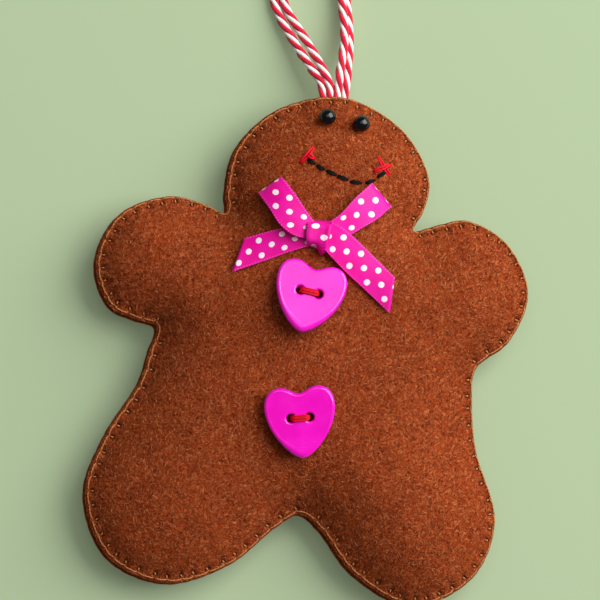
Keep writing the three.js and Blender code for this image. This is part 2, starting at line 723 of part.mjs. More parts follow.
function stitchGeometry() {
  const positions = [];
  const faces = [];
  const half = STITCH_THREAD / 2;
  const addPoint = (p) => positions.push(...p.toArray()) / 3 - 1;
  const stations = Array.from({ length: stitchCount }, (_, i) => {
    const share = (i + 0.5) / stitchCount;
    const [before, after] = [share - stitchReach, share + stitchReach].map((s) => edgeCurve.getPointAt(s));
    const tangent = after.sub(before).normalize();
    const outward = new THREE.Vector3(tangent.y, -tangent.x, 0);
    const backOut = backShift.x * outward.x + backShift.y * outward.y;
    const edge = Math.max(0, backOut) + CLEARANCE;
    const centre = edgeCurve.getPointAt(share);
    const onTwine = overTwine(centre.x, centre.y);
    const height = seamHeight + onTwine * (twineLift + CLEARANCE + half);
    const sides = [-1, 1].map((way) => {
      const at = centre.clone().addScaledVector(tangent, way * half);
      const point = (out, z) => at.clone().addScaledVector(outward, out).setZ(z);
      return {
        top: addPoint(point(edge, height + half)),
        outer: addPoint(point(edge + STITCH_THREAD, height)),
        bottom: addPoint(point(edge, height - half)),
        point,
      };
    });
    return { sides, centre, outward, backOut, onTwine };
  });
  const addQuad = (a, b, c, d) => faces.push(a, b, c, a, c, d);
  // A bar leaves the outer face of the edge thread, bends round the rim of the felt and ends in it
  const addBar = (corners, knee, tip) => {
    corners.forEach((a, k) => {
      const next = (k + 1) % 4;
      addQuad(a, corners[next], knee[next], knee[k]);
      faces.push(knee[k], knee[next], tip);
    });
  };
  stations.forEach(({ sides: [before, after], centre, outward, backOut, onTwine }, i) => {
    const next = stations[(i + 1) % stitchCount].sides[0];
    addQuad(before.bottom, before.top, after.top, after.bottom);
    addQuad(after.bottom, after.top, next.top, next.bottom);
    addQuad(after.top, after.outer, next.outer, next.top);
    addQuad(after.outer, after.bottom, next.bottom, next.outer);
    const inward = (depth) => centre.clone().addScaledVector(outward, -depth);
    const rim = inward(0);
    const rimTop = frontTop(rim.x, rim.y) + CLEARANCE;
    const entry = inward(STITCH_DEPTH);
    const kneeOf = (out, z, up) => [
      addPoint(before.point(out, z)),
      addPoint(before.point(out + half, z + up * half)),
      addPoint(after.point(out + half, z + up * half)),
      addPoint(after.point(out, z)),
    ];
    const tip = addPoint(entry.clone().setZ(frontTop(entry.x, entry.y) + CLEARANCE));
    addBar([before.top, before.outer, after.outer, after.top], kneeOf(CLEARANCE, rimTop, 1), tip);
    if (onTwine > 0) {
      addQuad(before.outer, before.bottom, after.bottom, after.outer);
      return;
    }
    const backEntry = inward(STITCH_DEPTH - backOut);
    const rimBottom = backBottom(rim.x, rim.y) - CLEARANCE;
    const [a, b, c, d] = kneeOf(backOut + CLEARANCE, rimBottom, -1);
    const backTip = backBottom(backEntry.x - backShift.x, backEntry.y - backShift.y) - CLEARANCE;
    const under = addPoint(backEntry.clone().setZ(backTip));
    addBar([before.outer, before.bottom, after.bottom, after.outer], [b, a, d, c], under);
  });
  return indexedGeometry(positions, faces);
}

addMesh("edge_stitching", stitchGeometry(), "caramelThread");

export default ornament;
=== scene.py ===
import math

import bpy
import numpy as np
from mathutils import Matrix, Vector
from mathutils.geometry import delaunay_2d_cdt


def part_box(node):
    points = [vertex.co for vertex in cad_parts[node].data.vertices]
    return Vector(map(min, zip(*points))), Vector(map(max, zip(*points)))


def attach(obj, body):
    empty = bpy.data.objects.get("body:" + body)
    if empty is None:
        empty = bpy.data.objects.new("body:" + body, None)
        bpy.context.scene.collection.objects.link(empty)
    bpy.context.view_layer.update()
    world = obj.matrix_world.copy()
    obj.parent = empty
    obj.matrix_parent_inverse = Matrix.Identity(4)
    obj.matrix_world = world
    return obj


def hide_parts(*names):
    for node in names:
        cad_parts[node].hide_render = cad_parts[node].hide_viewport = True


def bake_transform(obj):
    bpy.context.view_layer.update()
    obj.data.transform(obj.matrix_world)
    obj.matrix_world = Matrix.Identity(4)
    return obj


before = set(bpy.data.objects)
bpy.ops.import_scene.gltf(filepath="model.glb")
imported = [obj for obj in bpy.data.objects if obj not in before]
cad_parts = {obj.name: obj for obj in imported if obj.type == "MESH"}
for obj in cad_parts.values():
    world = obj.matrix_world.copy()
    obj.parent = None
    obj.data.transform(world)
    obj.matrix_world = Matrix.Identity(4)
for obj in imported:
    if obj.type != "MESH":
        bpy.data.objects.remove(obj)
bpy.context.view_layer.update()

# The table: a plain pale top that fills every view, under one wide soft light to the upper right. It also
# glows faintly, a painted light that lightens the shadows on it and lights the figure from below.
# The camera looks straight down and is turned a little, because the figure lies askew.
# Colours are shown as they are mixed, so that the pinks keep their strength.
TURN = math.radians(5.2)
TABLE_REACH = 2.5  # metres from the middle to each side
TABLE_LEVEL = -1e-4  # just clear of the felt that lies on it
DAYLIGHT = (1.0, 0.985, 0.96)
bpy.context.scene.view_settings.view_transform = "Standard"


def shade(red, green, blue):
    """A colour as the eye sees it, from 0 to 255, in the units of a shader."""
    parts = [part / 255 for part in (red, green, blue)]
    return (*[p / 12.92 if p < 0.04045 else ((p + 0.055) / 1.055) ** 2.4 for p in parts], 1)


def add_node(tree, kind, inputs=(), **settings):
    """Adds a node to a tree, and sets or links its inputs."""
    node = tree.nodes.new("ShaderNode" + kind)
    for name, value in settings.items():
        setattr(node, name, value)
    for name, value in dict(inputs).items():
        if isinstance(value, bpy.types.NodeSocket):
            tree.links.new(value, node.inputs[name])
        else:
            node.inputs[name].default_value = value
    return node


def noise(tree, place, scale, detail=2.0, roughness=0.5):
    """Cloudy values round a half."""
    inputs = {"Vector": place, "Scale": scale, "Detail": detail, "Roughness": roughness}
    return add_node(tree, "TexNoise", inputs).outputs[0]


def own_place(tree):
    return add_node(tree, "TexCoord").outputs["Object"]


def blend_colours(tree, share, first, second):
    return add_node(tree, "Mix", {0: share, 6: first, 7: second}, data_type="RGBA").outputs[2]


def new_material(name, **surface):
    """A material whose shader has these plain values, named as its sockets with _ for a space."""
    material = bpy.data.materials.new(name)
    material.use_nodes = True
    shader = material.node_tree.nodes["Principled BSDF"]
    for socket, value in surface.items():
        shader.inputs[socket.replace("_", " ")].default_value = value
    return material, material.node_tree, shader


def raise_surface(tree, shader, height, distance, strength=1.0):
    bump = add_node(tree, "Bump", {"Height": height, "Distance": distance, "Strength": strength})
    tree.links.new(bump.outputs[0], shader.inputs["Normal"])


def set_colour(tree, shader, colour):
    tree.links.new(colour, shader.inputs["Base Color"])


# Painted light: the table glows faintly though it is no lamp, which lightens the shadows on it and lights the
# underside of the figure.
glowing_table_paint, tree, shader = new_material("glowing_table_paint", Roughness=0.75, Emission_Strength=0.2,
                                         Emission_Color=shade(176, 196, 158))
table_place = own_place(tree)
cloudy = noise(tree, table_place, 6.0, 3.0)
set_colour(tree, shader, blend_colours(tree, cloudy, shade(152, 171, 136), shade(157, 175, 141)))
raise_surface(tree, shader, noise(tree, table_place, 900.0), 0.0001, 0.15)

table_mesh = bpy.data.meshes.new("table")
table_corners = [(-1, -1), (1, -1), (1, 1), (-1, 1)]
table_mesh.from_pydata([(x * TABLE_REACH, y * TABLE_REACH, TABLE_LEVEL) for x, y in table_corners], [],
                       [(0, 1, 2, 3)])
table_mesh.materials.append(glowing_table_paint)
table = bpy.data.objects.new("table", table_mesh)
bpy.context.collection.objects.link(table)


def add_light(name, place, size, power):
    """A square soft light that faces the figure."""
    lamp = bpy.data.lights.new(name, "AREA")
    lamp.size = size
    lamp.energy = power
    lamp.color = DAYLIGHT
    light = bpy.data.objects.new(name, lamp)
    light.location = place
    light.rotation_euler = (-Vector(place)).to_track_quat("-Z", "Y").to_euler()
    light.visible_camera = False
    bpy.context.collection.objects.link(light)


add_light("window_light", (0.74, 0.5, 0.7), 1.1, 23.5)
add_light("overhead_light", (0.05, 0.24, 0.75), 0.5, 1.1)
world = bpy.data.worlds.new("room")
world.use_nodes = True
room_light = world.node_tree.nodes["Background"].inputs
room_light["Color"].default_value = (1.0, 0.97, 0.92, 1)
room_light["Strength"].default_value = 0.11
bpy.context.scene.world = world

lens = bpy.data.cameras.new("camera")
lens.lens = 470.6
lens.clip_start = 0.01
camera = bpy.data.objects.new("camera", lens)
camera.location = (-0.002, 0.0091, 1.606)
camera.rotation_euler = (0, 0, TURN)
bpy.context.collection.objects.link(camera)
bpy.context.scene.camera = camera

# Front panel: rust-brown wool felt cut round a hand-drawn pattern, in millimetres.
# The stuffing lifts it into a pillow, and every stitch and knot pulls a dent into it.
# Its surface is a mat of loose fibres, some of which stand off it as fuzz.
PATTERN = [
    (1.2, 50.8), (-11.2, 46.7), (-18.3, 38.2), (-19.5, 29.2), (-19.2, 25.3), (-23.8, 26.7),
    (-30.6, 27.6), (-40.6, 22.9), (-44.4, 12.6), (-40.7, 4.1), (-35.4, 2), (-31.05, 0.8),
    (-32, -4), (-33.4, -10.4), (-39.4, -22.1), (-42.4, -34.2), (-36.7, -46.6), (-24.4, -50.9),
    (-12, -46.1), (-3, -37.4), (1.5, -34.5), (5.7, -37.3), (13.2, -45.6), (26, -51),
    (37.4, -44.2), (40.9, -32.5), (35.7, -18.2), (34.1, -8.8), (34.2, -1.8), (40.3, 4.2),
    (43.4, 14.4), (38.1, 24.2), (29.6, 28.1), (24.4, 26.8), (19.1, 25.1), (20.8, 29.3),
    (21.4, 35.4), (16.7, 43.6), (9.5, 48.7),
]
FIGURE_SIZE = np.array([88.4, 102.0])
FELT_THICKNESS = 1.2
FRONT_PUFF = 10.0
PUFF_REACH = 10.0
PUFF_POWER = 1.25
STITCH_PITCH = 3.1
SEAM_GAP = 0.15  # from the seam to the inside of a flat panel
SEAM_SHUT = 0.005  # the same where the sewing closes it
SEAM_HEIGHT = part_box("front_panel")[0].z * 1000 - SEAM_GAP


def smooth_path(points, per_span, closed=False):
    """A smooth curve through given points."""
    points = np.asarray(points, float)
    before, after = 2 * points[:1] - points[1:2], 2 * points[-1:] - points[-2:-1]
    ring = np.vstack([points[-1:], points, points[:2]] if closed else [before, points, after])
    gaps = np.sqrt(np.linalg.norm(np.diff(ring, axis=0), axis=1))
    t = np.linspace(0, 1, per_span, endpoint=False)[:, None]
    spans = []
    for i in range(1, len(ring) - 2):
        p0, p1, p2, p3 = ring[i - 1:i + 3]
        g0, g1, g2 = gaps[i - 1:i + 2]
        leave = ((p1 - p0) / g0 - (p2 - p0) / (g0 + g1) + (p2 - p1) / g1) * g1
        arrive = ((p2 - p1) / g1 - (p3 - p1) / (g1 + g2) + (p3 - p2) / g2) * g1
        bow = 3 * (p2 - p1) - 2 * leave - arrive
        twist = 2 * (p1 - p2) + leave + arrive
        spans.append(p1 + leave * t + bow * t ** 2 + twist * t ** 3)
    return np.vstack(spans if closed else spans + [points[-1:]])


def lengths_along(path):
    return np.concatenate([[0], np.cumsum(np.linalg.norm(np.diff(path, axis=0), axis=1))])


def at_lengths(path, wanted):
    along = lengths_along(path)
    return np.column_stack([np.interp(wanted, along, path[:, k]) for k in range(path.shape[1])])


def even_steps(path, step):
    total = lengths_along(path)[-1]
    return at_lengths(path, np.linspace(0, total, max(2, round(total / step)) + 1))


drawn = smooth_path(PATTERN, 3, closed=True)
drawn_middle = (drawn.min(axis=0) + drawn.max(axis=0)) / 2
drawn_size = np.ptp(drawn, axis=0)


def on_figure(points):
    """Places of the pattern on the figure."""
    return (np.asarray(points, float) - drawn_middle) * FIGURE_SIZE / drawn_size


outline = on_figure(smooth_path(PATTERN, 8, closed=True))
twine_place = on_figure((0.7, PATTERN[0][1]))


def seam_distance(places):
    """Distance from the seam, smoothed so that a limb has no ridge."""
    least_square = 1e-9
    at_once = 2000
    sides = np.roll(outline, -1, axis=0) - outline
    lengths = np.linalg.norm(sides, axis=1)
    ahead = sides / lengths[:, None]
    found = []
    for some in np.array_split(places, len(places) // at_once + 1):
        gap = some[:, None, :] - outline
        along = (gap * ahead).sum(axis=2)
        rest = lengths - along
        square = np.maximum((gap[..., 0] * ahead[:, 1] - gap[..., 1] * ahead[:, 0]) ** 2, least_square)
        nearness = (along / np.sqrt(square + along ** 2) + rest / np.sqrt(square + rest ** 2)) / square
        found.append(np.sqrt(2 / nearness.sum(axis=1)))
    return np.concatenate(found)


def rise_share(distance):
    return 1 - np.exp(-((distance / PUFF_REACH) ** PUFF_POWER))


def twine_lift(places, distance):
    """The seam opens round the twine at the crown."""
    left_by, half_width, ease, lift, reach = 0.35, 3.2, 2.6, 1.05, 4.2
    beside = np.clip((np.abs(places[:, 0] - twine_place[0] + left_by) - half_width) / ease, 0, 1)
    over = np.where(places[:, 1] > 0, 1 - beside ** 2 * (3 - 2 * beside), 0)
    return lift * over * np.exp(-((distance / reach) ** 2))


def front_level(places, distance):
    stuffed = FRONT_PUFF * rise_share(distance) + twine_lift(places, distance)
    return SEAM_HEIGHT + SEAM_GAP + FELT_THICKNESS + stuffed


def smooth_front(places):
    """Height of the front before anything is sewn to it."""
    places = np.asarray(places, float)
    return front_level(places, seam_distance(places))


# Where the blanket stitch goes through, a little uneven as a hand makes it
STITCH_BITE = 0.86  # from the run of the thread to a stitch's hole
chance = np.random.default_rng(11)
closed_outline = np.vstack([outline, outline[:1]])
edge_length = lengths_along(closed_outline)[-1]
stitch_count = round(edge_length / STITCH_PITCH)
stitch_steps = np.arange(stitch_count) + 0.5 + chance.uniform(-0.13, 0.13, stitch_count)
stitch_lengths = stitch_steps * edge_length / stitch_count


def outward_of(ring, reach=1):
    ahead = np.roll(ring, -reach, axis=0) - np.roll(ring, reach, axis=0)
    outward = np.column_stack([ahead[:, 1], -ahead[:, 0]])
    return outward / np.linalg.norm(outward, axis=1)[:, None]


closed_outward = np.vstack([outward_of(outline), outward_of(outline)[:1]])
stitch_edges = at_lengths(closed_outline, stitch_lengths)
stitch_outward = np.column_stack([
    np.interp(stitch_lengths, lengths_along(closed_outline), closed_outward[:, k]) for k in range(2)
])
stitch_outward /= np.linalg.norm(stitch_outward, axis=1)[:, None]


def run_inset(outward):
    """How far inside the edge the stitch runs: more on the left and below, where the back shows."""
    upper_right = (0.78, 0.62)
    return 0.42 - 0.34 * (outward @ upper_right)


stitch_depths = run_inset(stitch_outward) + STITCH_BITE + chance.uniform(-0.12, 0.16, stitch_count)
stitch_holes = stitch_edges - stitch_outward * stitch_depths[:, None]

# Places that are marked on the front from the pattern; a button has a place, a turn and a tip in degrees
EYES = on_figure([(-0.2, 45.8), (6.35, 44.95)])
DASHES = on_figure([
    (-2.7, 37.1), (-0.75, 36.1), (1.55, 35.25), (3.95, 34.4), (6.7, 33.75), (9.5, 34.15), (11.7, 35.9),
])
DASH_HALVES = [0.8, 0.9, 1.05, 1.15, 1.2, 1.05, 1.25]
CHEEKS = {
    "left": on_figure([(-5.05, 36.4), (-2.35, 40.25), (-3.8, 38.4), (-2.05, 37.82)]).reshape(2, 2, 2),
    "right": on_figure([(10.45, 39.45), (13.25, 35.75), (9.75, 36.2), (13.5, 38.05)]).reshape(2, 2, 2),
}
BUTTONS = {"upper": (on_figure((-0.8, 10.05)), -8, -11), "lower": (on_figure((-0.3, -14.5)), 9.5, 1)}

dash_ways = np.vstack([DASHES[1:], DASHES[-1:]]) - np.vstack([DASHES[:1], DASHES[:-1]])
dash_ways /= np.linalg.norm(dash_ways, axis=1)[:, None]

dents = []  # each x, y, depth and radius
for hole, out in zip(stitch_holes, stitch_outward):
    dents += [(*hole, 1.2, 0.36), (*(hole - 0.2 * out), 0.3, 1.0)]
dents += [(*eye, 0.5, 2.2) for eye in EYES]
for dash, way, half in zip(DASHES, dash_ways, DASH_HALVES):
    dents += [(*(dash + side * (half + 0.12) * way), 0.55, 0.4) for side in (-1, 1)]
for strokes in CHEEKS.values():
    dents += [(*end, 0.5, 0.6) for end in strokes.reshape(4, 2)]
dents += [(*place, 0.5, 6.0) for place, turn, tip in BUTTONS.values()]
neck_and_limbs = [PATTERN[4], PATTERN[11], PATTERN[20], PATTERN[28], PATTERN[34]]
creases = on_figure(neck_and_limbs)


def soft_lumps(places):
    x, y = places.T
    lumps = 0.16 * np.sin(0.19 * x + 0.11 * y + 1.3) + 0.14 * np.sin(0.23 * y - 0.13 * x + 4.0)
    lumps += 0.09 * np.sin(0.37 * x - 0.29 * y + 2.2) + 0.06 * np.sin(0.61 * x + 0.53 * y)
    for number, corner in enumerate(creases):
        gap = places - corner
        away = np.linalg.norm(gap, axis=1)
        fan = np.cos(7 * np.arctan2(gap[:, 1], gap[:, 0]) + number)
        lumps += 0.3 * fan * np.exp(-away / 5) * np.clip(away / 3, 0, 1) ** 2
    return lumps


def felt_front(places):
    """Height of the front with its lumps, its creases and the dents of the sewing."""
    places = np.asarray(places, float)
    distance = seam_distance(places)
    height = front_level(places, distance)
    height += soft_lumps(places) * np.clip(rise_share(distance) * 2.5, 0, 1)
    for x, y, depth, radius in dents:
        near = (np.abs(places[:, 0] - x) < 3 * radius) & (np.abs(places[:, 1] - y) < 3 * radius)
        gap = places[near] - (x, y)
        height[near] -= depth * np.exp(-(gap ** 2).sum(axis=1) / radius ** 2)
    return height


def to_stitch(edge_at):
    """Distance along the edge to the nearest stitch."""
    half = edge_length / 2
    return np.abs((edge_at[:, None] - stitch_lengths + half) % edge_length - half).min(axis=1)


# The cut edge draws in a little at each stitch
EDGE_POINTS = 1560
edge_at = np.linspace(0, edge_length, EDGE_POINTS, endpoint=False)
edge = at_lengths(closed_outline, edge_at)
edge_outward = outward_of(edge, 4)
edge = edge - edge_outward * (0.06 * np.exp(-((to_stitch(edge_at) / 0.6) ** 2)))[:, None]


def inside(ring, places):
    """Which places lie inside a closed ring."""
    within = np.zeros(len(places), bool)
    for a, b in zip(ring, np.roll(ring, -1, axis=0)):
        if a[1] != b[1]:
            crosses = (places[:, 1] > min(a[1], b[1])) & (places[:, 1] <= max(a[1], b[1]))
            within ^= crosses & (places[:, 0] < a[0] + (places[:, 1] - a[1]) / (b[1] - a[1]) * (b[0] - a[0]))
    return within


def filled_plan(ring, spacing, holes=()):
    """Triangles that fill a ring, with evenly spread points inside it: the points, then the faces."""
    low, high = ring.min(axis=0), ring.max(axis=0)
    rows = np.arange(low[1], high[1], spacing * 0.866)
    columns = np.arange(low[0], high[0], spacing)
    grid = np.array([(x + (j % 2) * spacing / 2, y) for j, y in enumerate(rows) for x in columns])
    grid = grid[inside(ring, grid)]
    walls = np.vstack([ring, *holes])
    clear = [np.sqrt(((p - walls) ** 2).sum(axis=1).min()) > 0.55 * spacing for p in grid]
    for hole in holes:
        clear &= ~inside(hole, grid)
    points = np.vstack([walls, grid[clear]])
    starts = np.cumsum([0, len(ring)] + [len(hole) for hole in holes])
    loops = [list(range(a, b)) for a, b in zip(starts, starts[1:])]
    made = delaunay_2d_cdt([Vector(p) for p in points], [], loops, 1, 1e-7)
    back = [origin[0] for origin in made[3]]
    faces = np.array([[back[i] for i in face] for face in made[2]])
    middles = points[faces].mean(axis=1)
    for hole in holes:
        outside = ~inside(hole, middles)
        faces, middles = faces[outside], middles[outside]
    a, b, c = points[faces].transpose(1, 0, 2)
    wrong = (b[:, 0] - a[:, 0]) * (c[:, 1] - a[:, 1]) < (b[:, 1] - a[:, 1]) * (c[:, 0] - a[:, 0])
    faces[wrong] = faces[wrong][:, ::-1]
    return points, faces


def ring_quads(first, second, count):
    """Faces between two rings of points that start at these numbers."""
    i = np.arange(count)
    j = (i + 1) % count
    return np.column_stack([first + i, first + j, second + j, second + i])


def make_piece(name, parts, *materials):
    """One object from parts in millimetres.

    A part is its points, its faces, the flat places of their corners or None, and its material's number.
    """
    points, faces, corners, numbers = [], [], [], []
    start = 0
    for part_points, part_faces, part_corners, number in parts:
        points.append(part_points)
        for group in part_faces if isinstance(part_faces, list) else [part_faces]:
            faces += (group + start).tolist()
            numbers += [number] * len(group)
            corners.append(np.zeros(group.size * 2) if part_corners is None else part_corners.ravel())
        start += len(part_points)
    mesh = bpy.data.meshes.new(name)
    mesh.from_pydata((np.vstack(points) * 0.001).tolist(), [], faces)
    mesh.polygons.foreach_set("material_index", numbers)
    mesh.polygons.foreach_set("use_smooth", [True] * len(faces))
    if any(part[2] is not None for part in parts):
        mesh.uv_layers.new(name="flat").data.foreach_set("uv", np.concatenate(corners))
    for material in materials:
        mesh.materials.append(material)
    piece = bpy.data.objects.new(name, mesh)
    bpy.context.collection.objects.link(piece)
    return piece


def felt_shell(insets, spacing, top_at, bottom_at, shift=(0, 0), rim=0.35):
    """A cut piece of felt with a rounded edge: its points and faces."""
    rings = [edge - edge_outward * inset for inset in insets]
    count = len(edge)
    fill_points, fill_faces = filled_plan(rings[-1], spacing)
    plan = np.vstack(rings[:-1] + [fill_points])
    upper, lower = top_at(plan), bottom_at(plan)
    tops = np.column_stack([plan + shift, upper])
    bottoms = np.column_stack([plan + shift, lower])
    middle, half = (upper[:count] + lower[:count]) / 2, (upper[:count] - lower[:count]) / 2
    rims = []
    for angle in np.linspace(90, -90, 8)[1:-1]:
        out = rim * math.cos(math.radians(angle))
        level = middle + half * math.sin(math.radians(angle))
        rims.append(np.column_stack([rings[0] + edge_outward * out + shift, level]))
    sheet_faces = [ring_quads(r * count, (r + 1) * count, count) for r in range(len(rings) - 1)]
    last = (len(rings) - 1) * count
    size = len(plan)
    rim_starts = [0] + [2 * size + k * count for k in range(len(rims))] + [size]
    faces = sheet_faces + [fill_faces + last]
    faces += [group[:, ::-1] + size for group in sheet_faces] + [fill_faces[:, ::-1] + last + size]
    faces += [ring_quads(a, b, count)[:, ::-1] for a, b in zip(rim_starts, rim_starts[1:])]
    return np.vstack([tops, bottoms] + rims), faces


def reckon(tree, operation, first, second=0.0):
    return add_node(tree, "Math", {0: first, 1: second}, operation=operation).outputs[0]


def times(tree, first, second):
    return reckon(tree, "MULTIPLY", first, second)


def plus(tree, first, second):
    return reckon(tree, "ADD", first, second)


def minus(tree, first, second):
    return reckon(tree, "SUBTRACT", first, second)


def spread(tree, value, low, high, to_low=0.0, to_high=1.0):
    """A value between low and high, spread over a new range."""
    ends = {"From Min": low, "From Max": high, "To Min": to_low, "To Max": to_high}
    return add_node(tree, "MapRange", {"Value": value, **ends}, interpolation_type="SMOOTHSTEP").outputs[0]


def reckon_place(tree, operation, first, second):
    return add_node(tree, "VectorMath", {0: first, 1: second}, operation=operation).outputs[0]


def new_effect(name, inputs, outputs):
    """A shader node group: its tree, what it takes and what it gives."""
    effect = bpy.data.node_groups.new(name, "ShaderNodeTree")
    for socket, kind in inputs.items():
        effect.interface.new_socket(socket, in_out="INPUT", socket_type="NodeSocket" + kind)
    for socket in outputs:
        effect.interface.new_socket(socket, in_out="OUTPUT", socket_type="NodeSocketFloat")
    return effect, effect.nodes.new("NodeGroupInput").outputs, effect.nodes.new("NodeGroupOutput").inputs


# Matted wool: light fibres that lie every way, the gaps between them, which the materials darken as painted
# shade, and their height
wool, wool_in, wool_out = new_effect("matted wool", {"Place": "Vector"}, ("Fibres", "ShadedGaps", "Tone", "Height"))
place = reckon_place(wool, "MULTIPLY", wool_in["Place"], (1000, 1000, 1000))
curl = add_node(wool, "TexNoise", {"Vector": place, "Scale": 0.7, "Detail": 2.0}).outputs["Color"]
curl = reckon_place(wool, "SUBTRACT", curl, (0.5, 0.5, 0.5))
curled = reckon_place(wool, "ADD", place, reckon_place(wool, "MULTIPLY", curl, (2.4, 2.4, 2.4)))
fibres = 0.0
for number, lie in enumerate((8, 53, 97, 141)):
    lie_angle = {"Vector": curled, "Angle": math.radians(lie)}
    turned = add_node(wool, "VectorRotate", lie_angle, rotation_type="Z_AXIS").outputs[0]
    drawn_out = reckon_place(wool, "MULTIPLY", turned, (0.6, 5.2, 1.4))
    apart = reckon_place(wool, "ADD", drawn_out, (19 * number, 7, 3))
    fibres = reckon(wool, "MAXIMUM", fibres, spread(wool, noise(wool, apart, 1.0, 1.5), 0.55, 0.7))
pores = spread(wool, noise(wool, curled, 3.0, 1.0), 0.46, 0.38)
pits = add_node(wool, "TexVoronoi", {"Vector": curled, "Scale": 1.25}, voronoi_dimensions="2D")
uneven = spread(wool, noise(wool, place, 0.9, 1.0), 0.35, 0.6, 0.35, 1.0)
pits = times(wool, spread(wool, pits.outputs["Distance"], 0.36, 0.16), uneven)
pores = reckon(wool, "MAXIMUM", times(wool, pores, 0.5), pits)
pores = times(wool, pores, minus(wool, 1.0, times(wool, fibres, 0.45)))
tone = noise(wool, place, 0.16, 4.0, 0.62)
fluff = noise(wool, place, 5.0)
height = plus(wool, times(wool, fibres, 0.6), times(wool, fluff, 0.35))
height = minus(wool, height, times(wool, pores, 0.5))
for name, value in (("Fibres", fibres), ("ShadedGaps", pores), ("Tone", tone), ("Height", height)):
    wool.links.new(value, wool_out[name])


def wool_nodes(tree):
    return add_node(tree, "Group", {"Place": own_place(tree)}, node_tree=wool).outputs


felt, tree, shader = new_material("rust_felt", Roughness=0.72, Sheen_Weight=0.02, Sheen_Roughness=0.6,
                                  Sheen_Tint=shade(255, 190, 150), Specular_IOR_Level=0.09)
mat = wool_nodes(tree)
colour = blend_colours(tree, spread(tree, mat["Tone"], 0.3, 0.7), shade(131, 42, 4), shade(151, 54, 8))
colour = blend_colours(tree, times(tree, mat["Fibres"], 0.6), colour, shade(204, 114, 66))
# Painted shade: the gaps between the fibres are darkened for the shade that falls in them.
colour = blend_colours(tree, times(tree, mat["ShadedGaps"], 0.66), colour, shade(58, 11, 0))
set_colour(tree, shader, colour)
raise_surface(tree, shader, mat["Height"], 0.00025, 0.8)

FRONT_INSETS = [0.3, 0.5, 0.7, 0.9, 1.1, 1.3, 1.5, 1.75, 2.1, 2.6]
FRONT_SPACING = 0.8
inner_depth = FELT_THICKNESS + SEAM_GAP - SEAM_SHUT
front_points, front_faces = felt_shell(
    FRONT_INSETS, FRONT_SPACING, felt_front,
    lambda places: np.maximum(SEAM_HEIGHT + SEAM_SHUT, felt_front(places) - inner_depth),
)
front_panel = make_piece("front_panel_felt", [(front_points, front_faces, None, 0)], felt)


def fuzz(heights_at, amount, seed, side=1):
    """Loose fibres that lie on the felt: narrow strips with four cross-lines each."""
    dice = np.random.default_rng(seed)
    roots = dice.uniform(outline.min(axis=0), outline.max(axis=0), (2 * amount, 2))
    roots = roots[inside(outline, roots)][:amount]
    count = len(roots)
    x, y = roots.T
    swirl = 0.5 * np.sin(0.16 * x + 1.0) + 0.4 * np.sin(0.21 * y - 0.1 * x)
    heading = 1.5 + swirl + dice.normal(0, 0.9, count)
    curl = dice.normal(0, 0.8, count)
    length = dice.uniform(0.4, 1.1, count)
    width = dice.uniform(0.05, 0.1, count)
    tone = dice.random(count)
    lift = np.abs(dice.normal(0, 0.06, (count, 4))) + 0.02
    lift[:, 3] += np.where(dice.random(count) < 0.12, dice.uniform(0.1, 0.35, count), 0)
    lines = [roots]
    for k in range(3):
        turn = heading + curl * (k - 1)
        lines.append(lines[-1] + np.column_stack([np.cos(turn), np.sin(turn)]) * (length / 3)[:, None])
    lines = np.stack(lines, axis=1)
    keep = inside(outline, lines[:, 3]) & inside(outline, lines[:, 2])
    lines, heading, width, lift, tone = lines[keep], heading[keep], width[keep], lift[keep], tone[keep]
    level = heights_at(lines.reshape(-1, 2)).reshape(-1, 4) + side * lift
    across = np.column_stack([-np.sin(heading), np.cos(heading)])[:, None, :] * width[:, None, None]
    across = across * np.array([0.6, 1, 1, 0.35])[None, :, None] / 2
    left = np.concatenate([lines + across, level[..., None]], axis=2)
    right = np.concatenate([lines - across, level[..., None]], axis=2)
    points = np.stack([left, right], axis=2).reshape(-1, 3)
    step = 8 * np.arange(len(lines))[:, None, None]
    faces = (np.array([[0, 1, 3, 2], [2, 3, 5, 4], [4, 5, 7, 6]]) + step).reshape(-1, 4)
    corners = np.column_stack([np.repeat(tone, 12), np.tile(np.repeat([0, 0.5, 1], 4), len(lines))])
    return points, faces, corners


def flat_place(tree):
    return add_node(tree, "SeparateXYZ", {0: add_node(tree, "UVMap").outputs[0]}).outputs


FRONT_HAIRS = 26000
fibre_wool, tree, shader = new_material("loose_wool", Roughness=0.7, Sheen_Weight=0.02,
                                        Specular_IOR_Level=0.08)
mat = wool_nodes(tree)
tone = flat_place(tree)[0]
colour = blend_colours(tree, spread(tree, tone, 0.0, 0.7), shade(96, 27, 4), shade(172, 80, 36))
colour = blend_colours(tree, spread(tree, tone, 0.65, 1.0), colour, shade(212, 132, 84))
# Painted shade: the fuzz is darkened where the felt has gaps between its fibres.
colour = blend_colours(tree, times(tree, mat["ShadedGaps"], 0.5), colour, shade(70, 15, 1))
set_colour(tree, shader, colour)
raise_surface(tree, shader, mat["Height"], 0.00005, 0.4)
front_fuzz = make_piece("front_panel_fuzz", [(*fuzz(felt_front, FRONT_HAIRS, 3), 0)], fibre_wool)

across, up = outline.T
for piece in (front_panel, front_fuzz):
    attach(piece, "ornament")
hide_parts("front_panel")


# Eyes: two glossy black beads of about 3.4 mm, turned with a bore through the middle.
# Each sits in a dent of the felt on a black thread that passes through its bore.
BEAD_RADIUS = 1.7
BORE_RADIUS = 0.38


def seat_on(place, turn=0):
    """A place on the front, square to the felt: its point and its three directions as columns."""
    step = 0.5
    x, y = place
    around = [(x + step, y), (x - step, y), (x, y + step), (x, y - step), (x, y)]
    east, west, north, south, here = smooth_front(around)
    normal = Vector(((west - east) / (2 * step), (south - north) / (2 * step), 1)).normalized()
    square = Vector((0, 0, 1)).rotation_difference(normal).to_matrix()
    return np.array([x, y, here]), np.array(square @ Matrix.Rotation(math.radians(turn), 3, "Z"))


def on_seat(seat, points):
    return seat[0] + np.asarray(points, float) @ seat[1].T


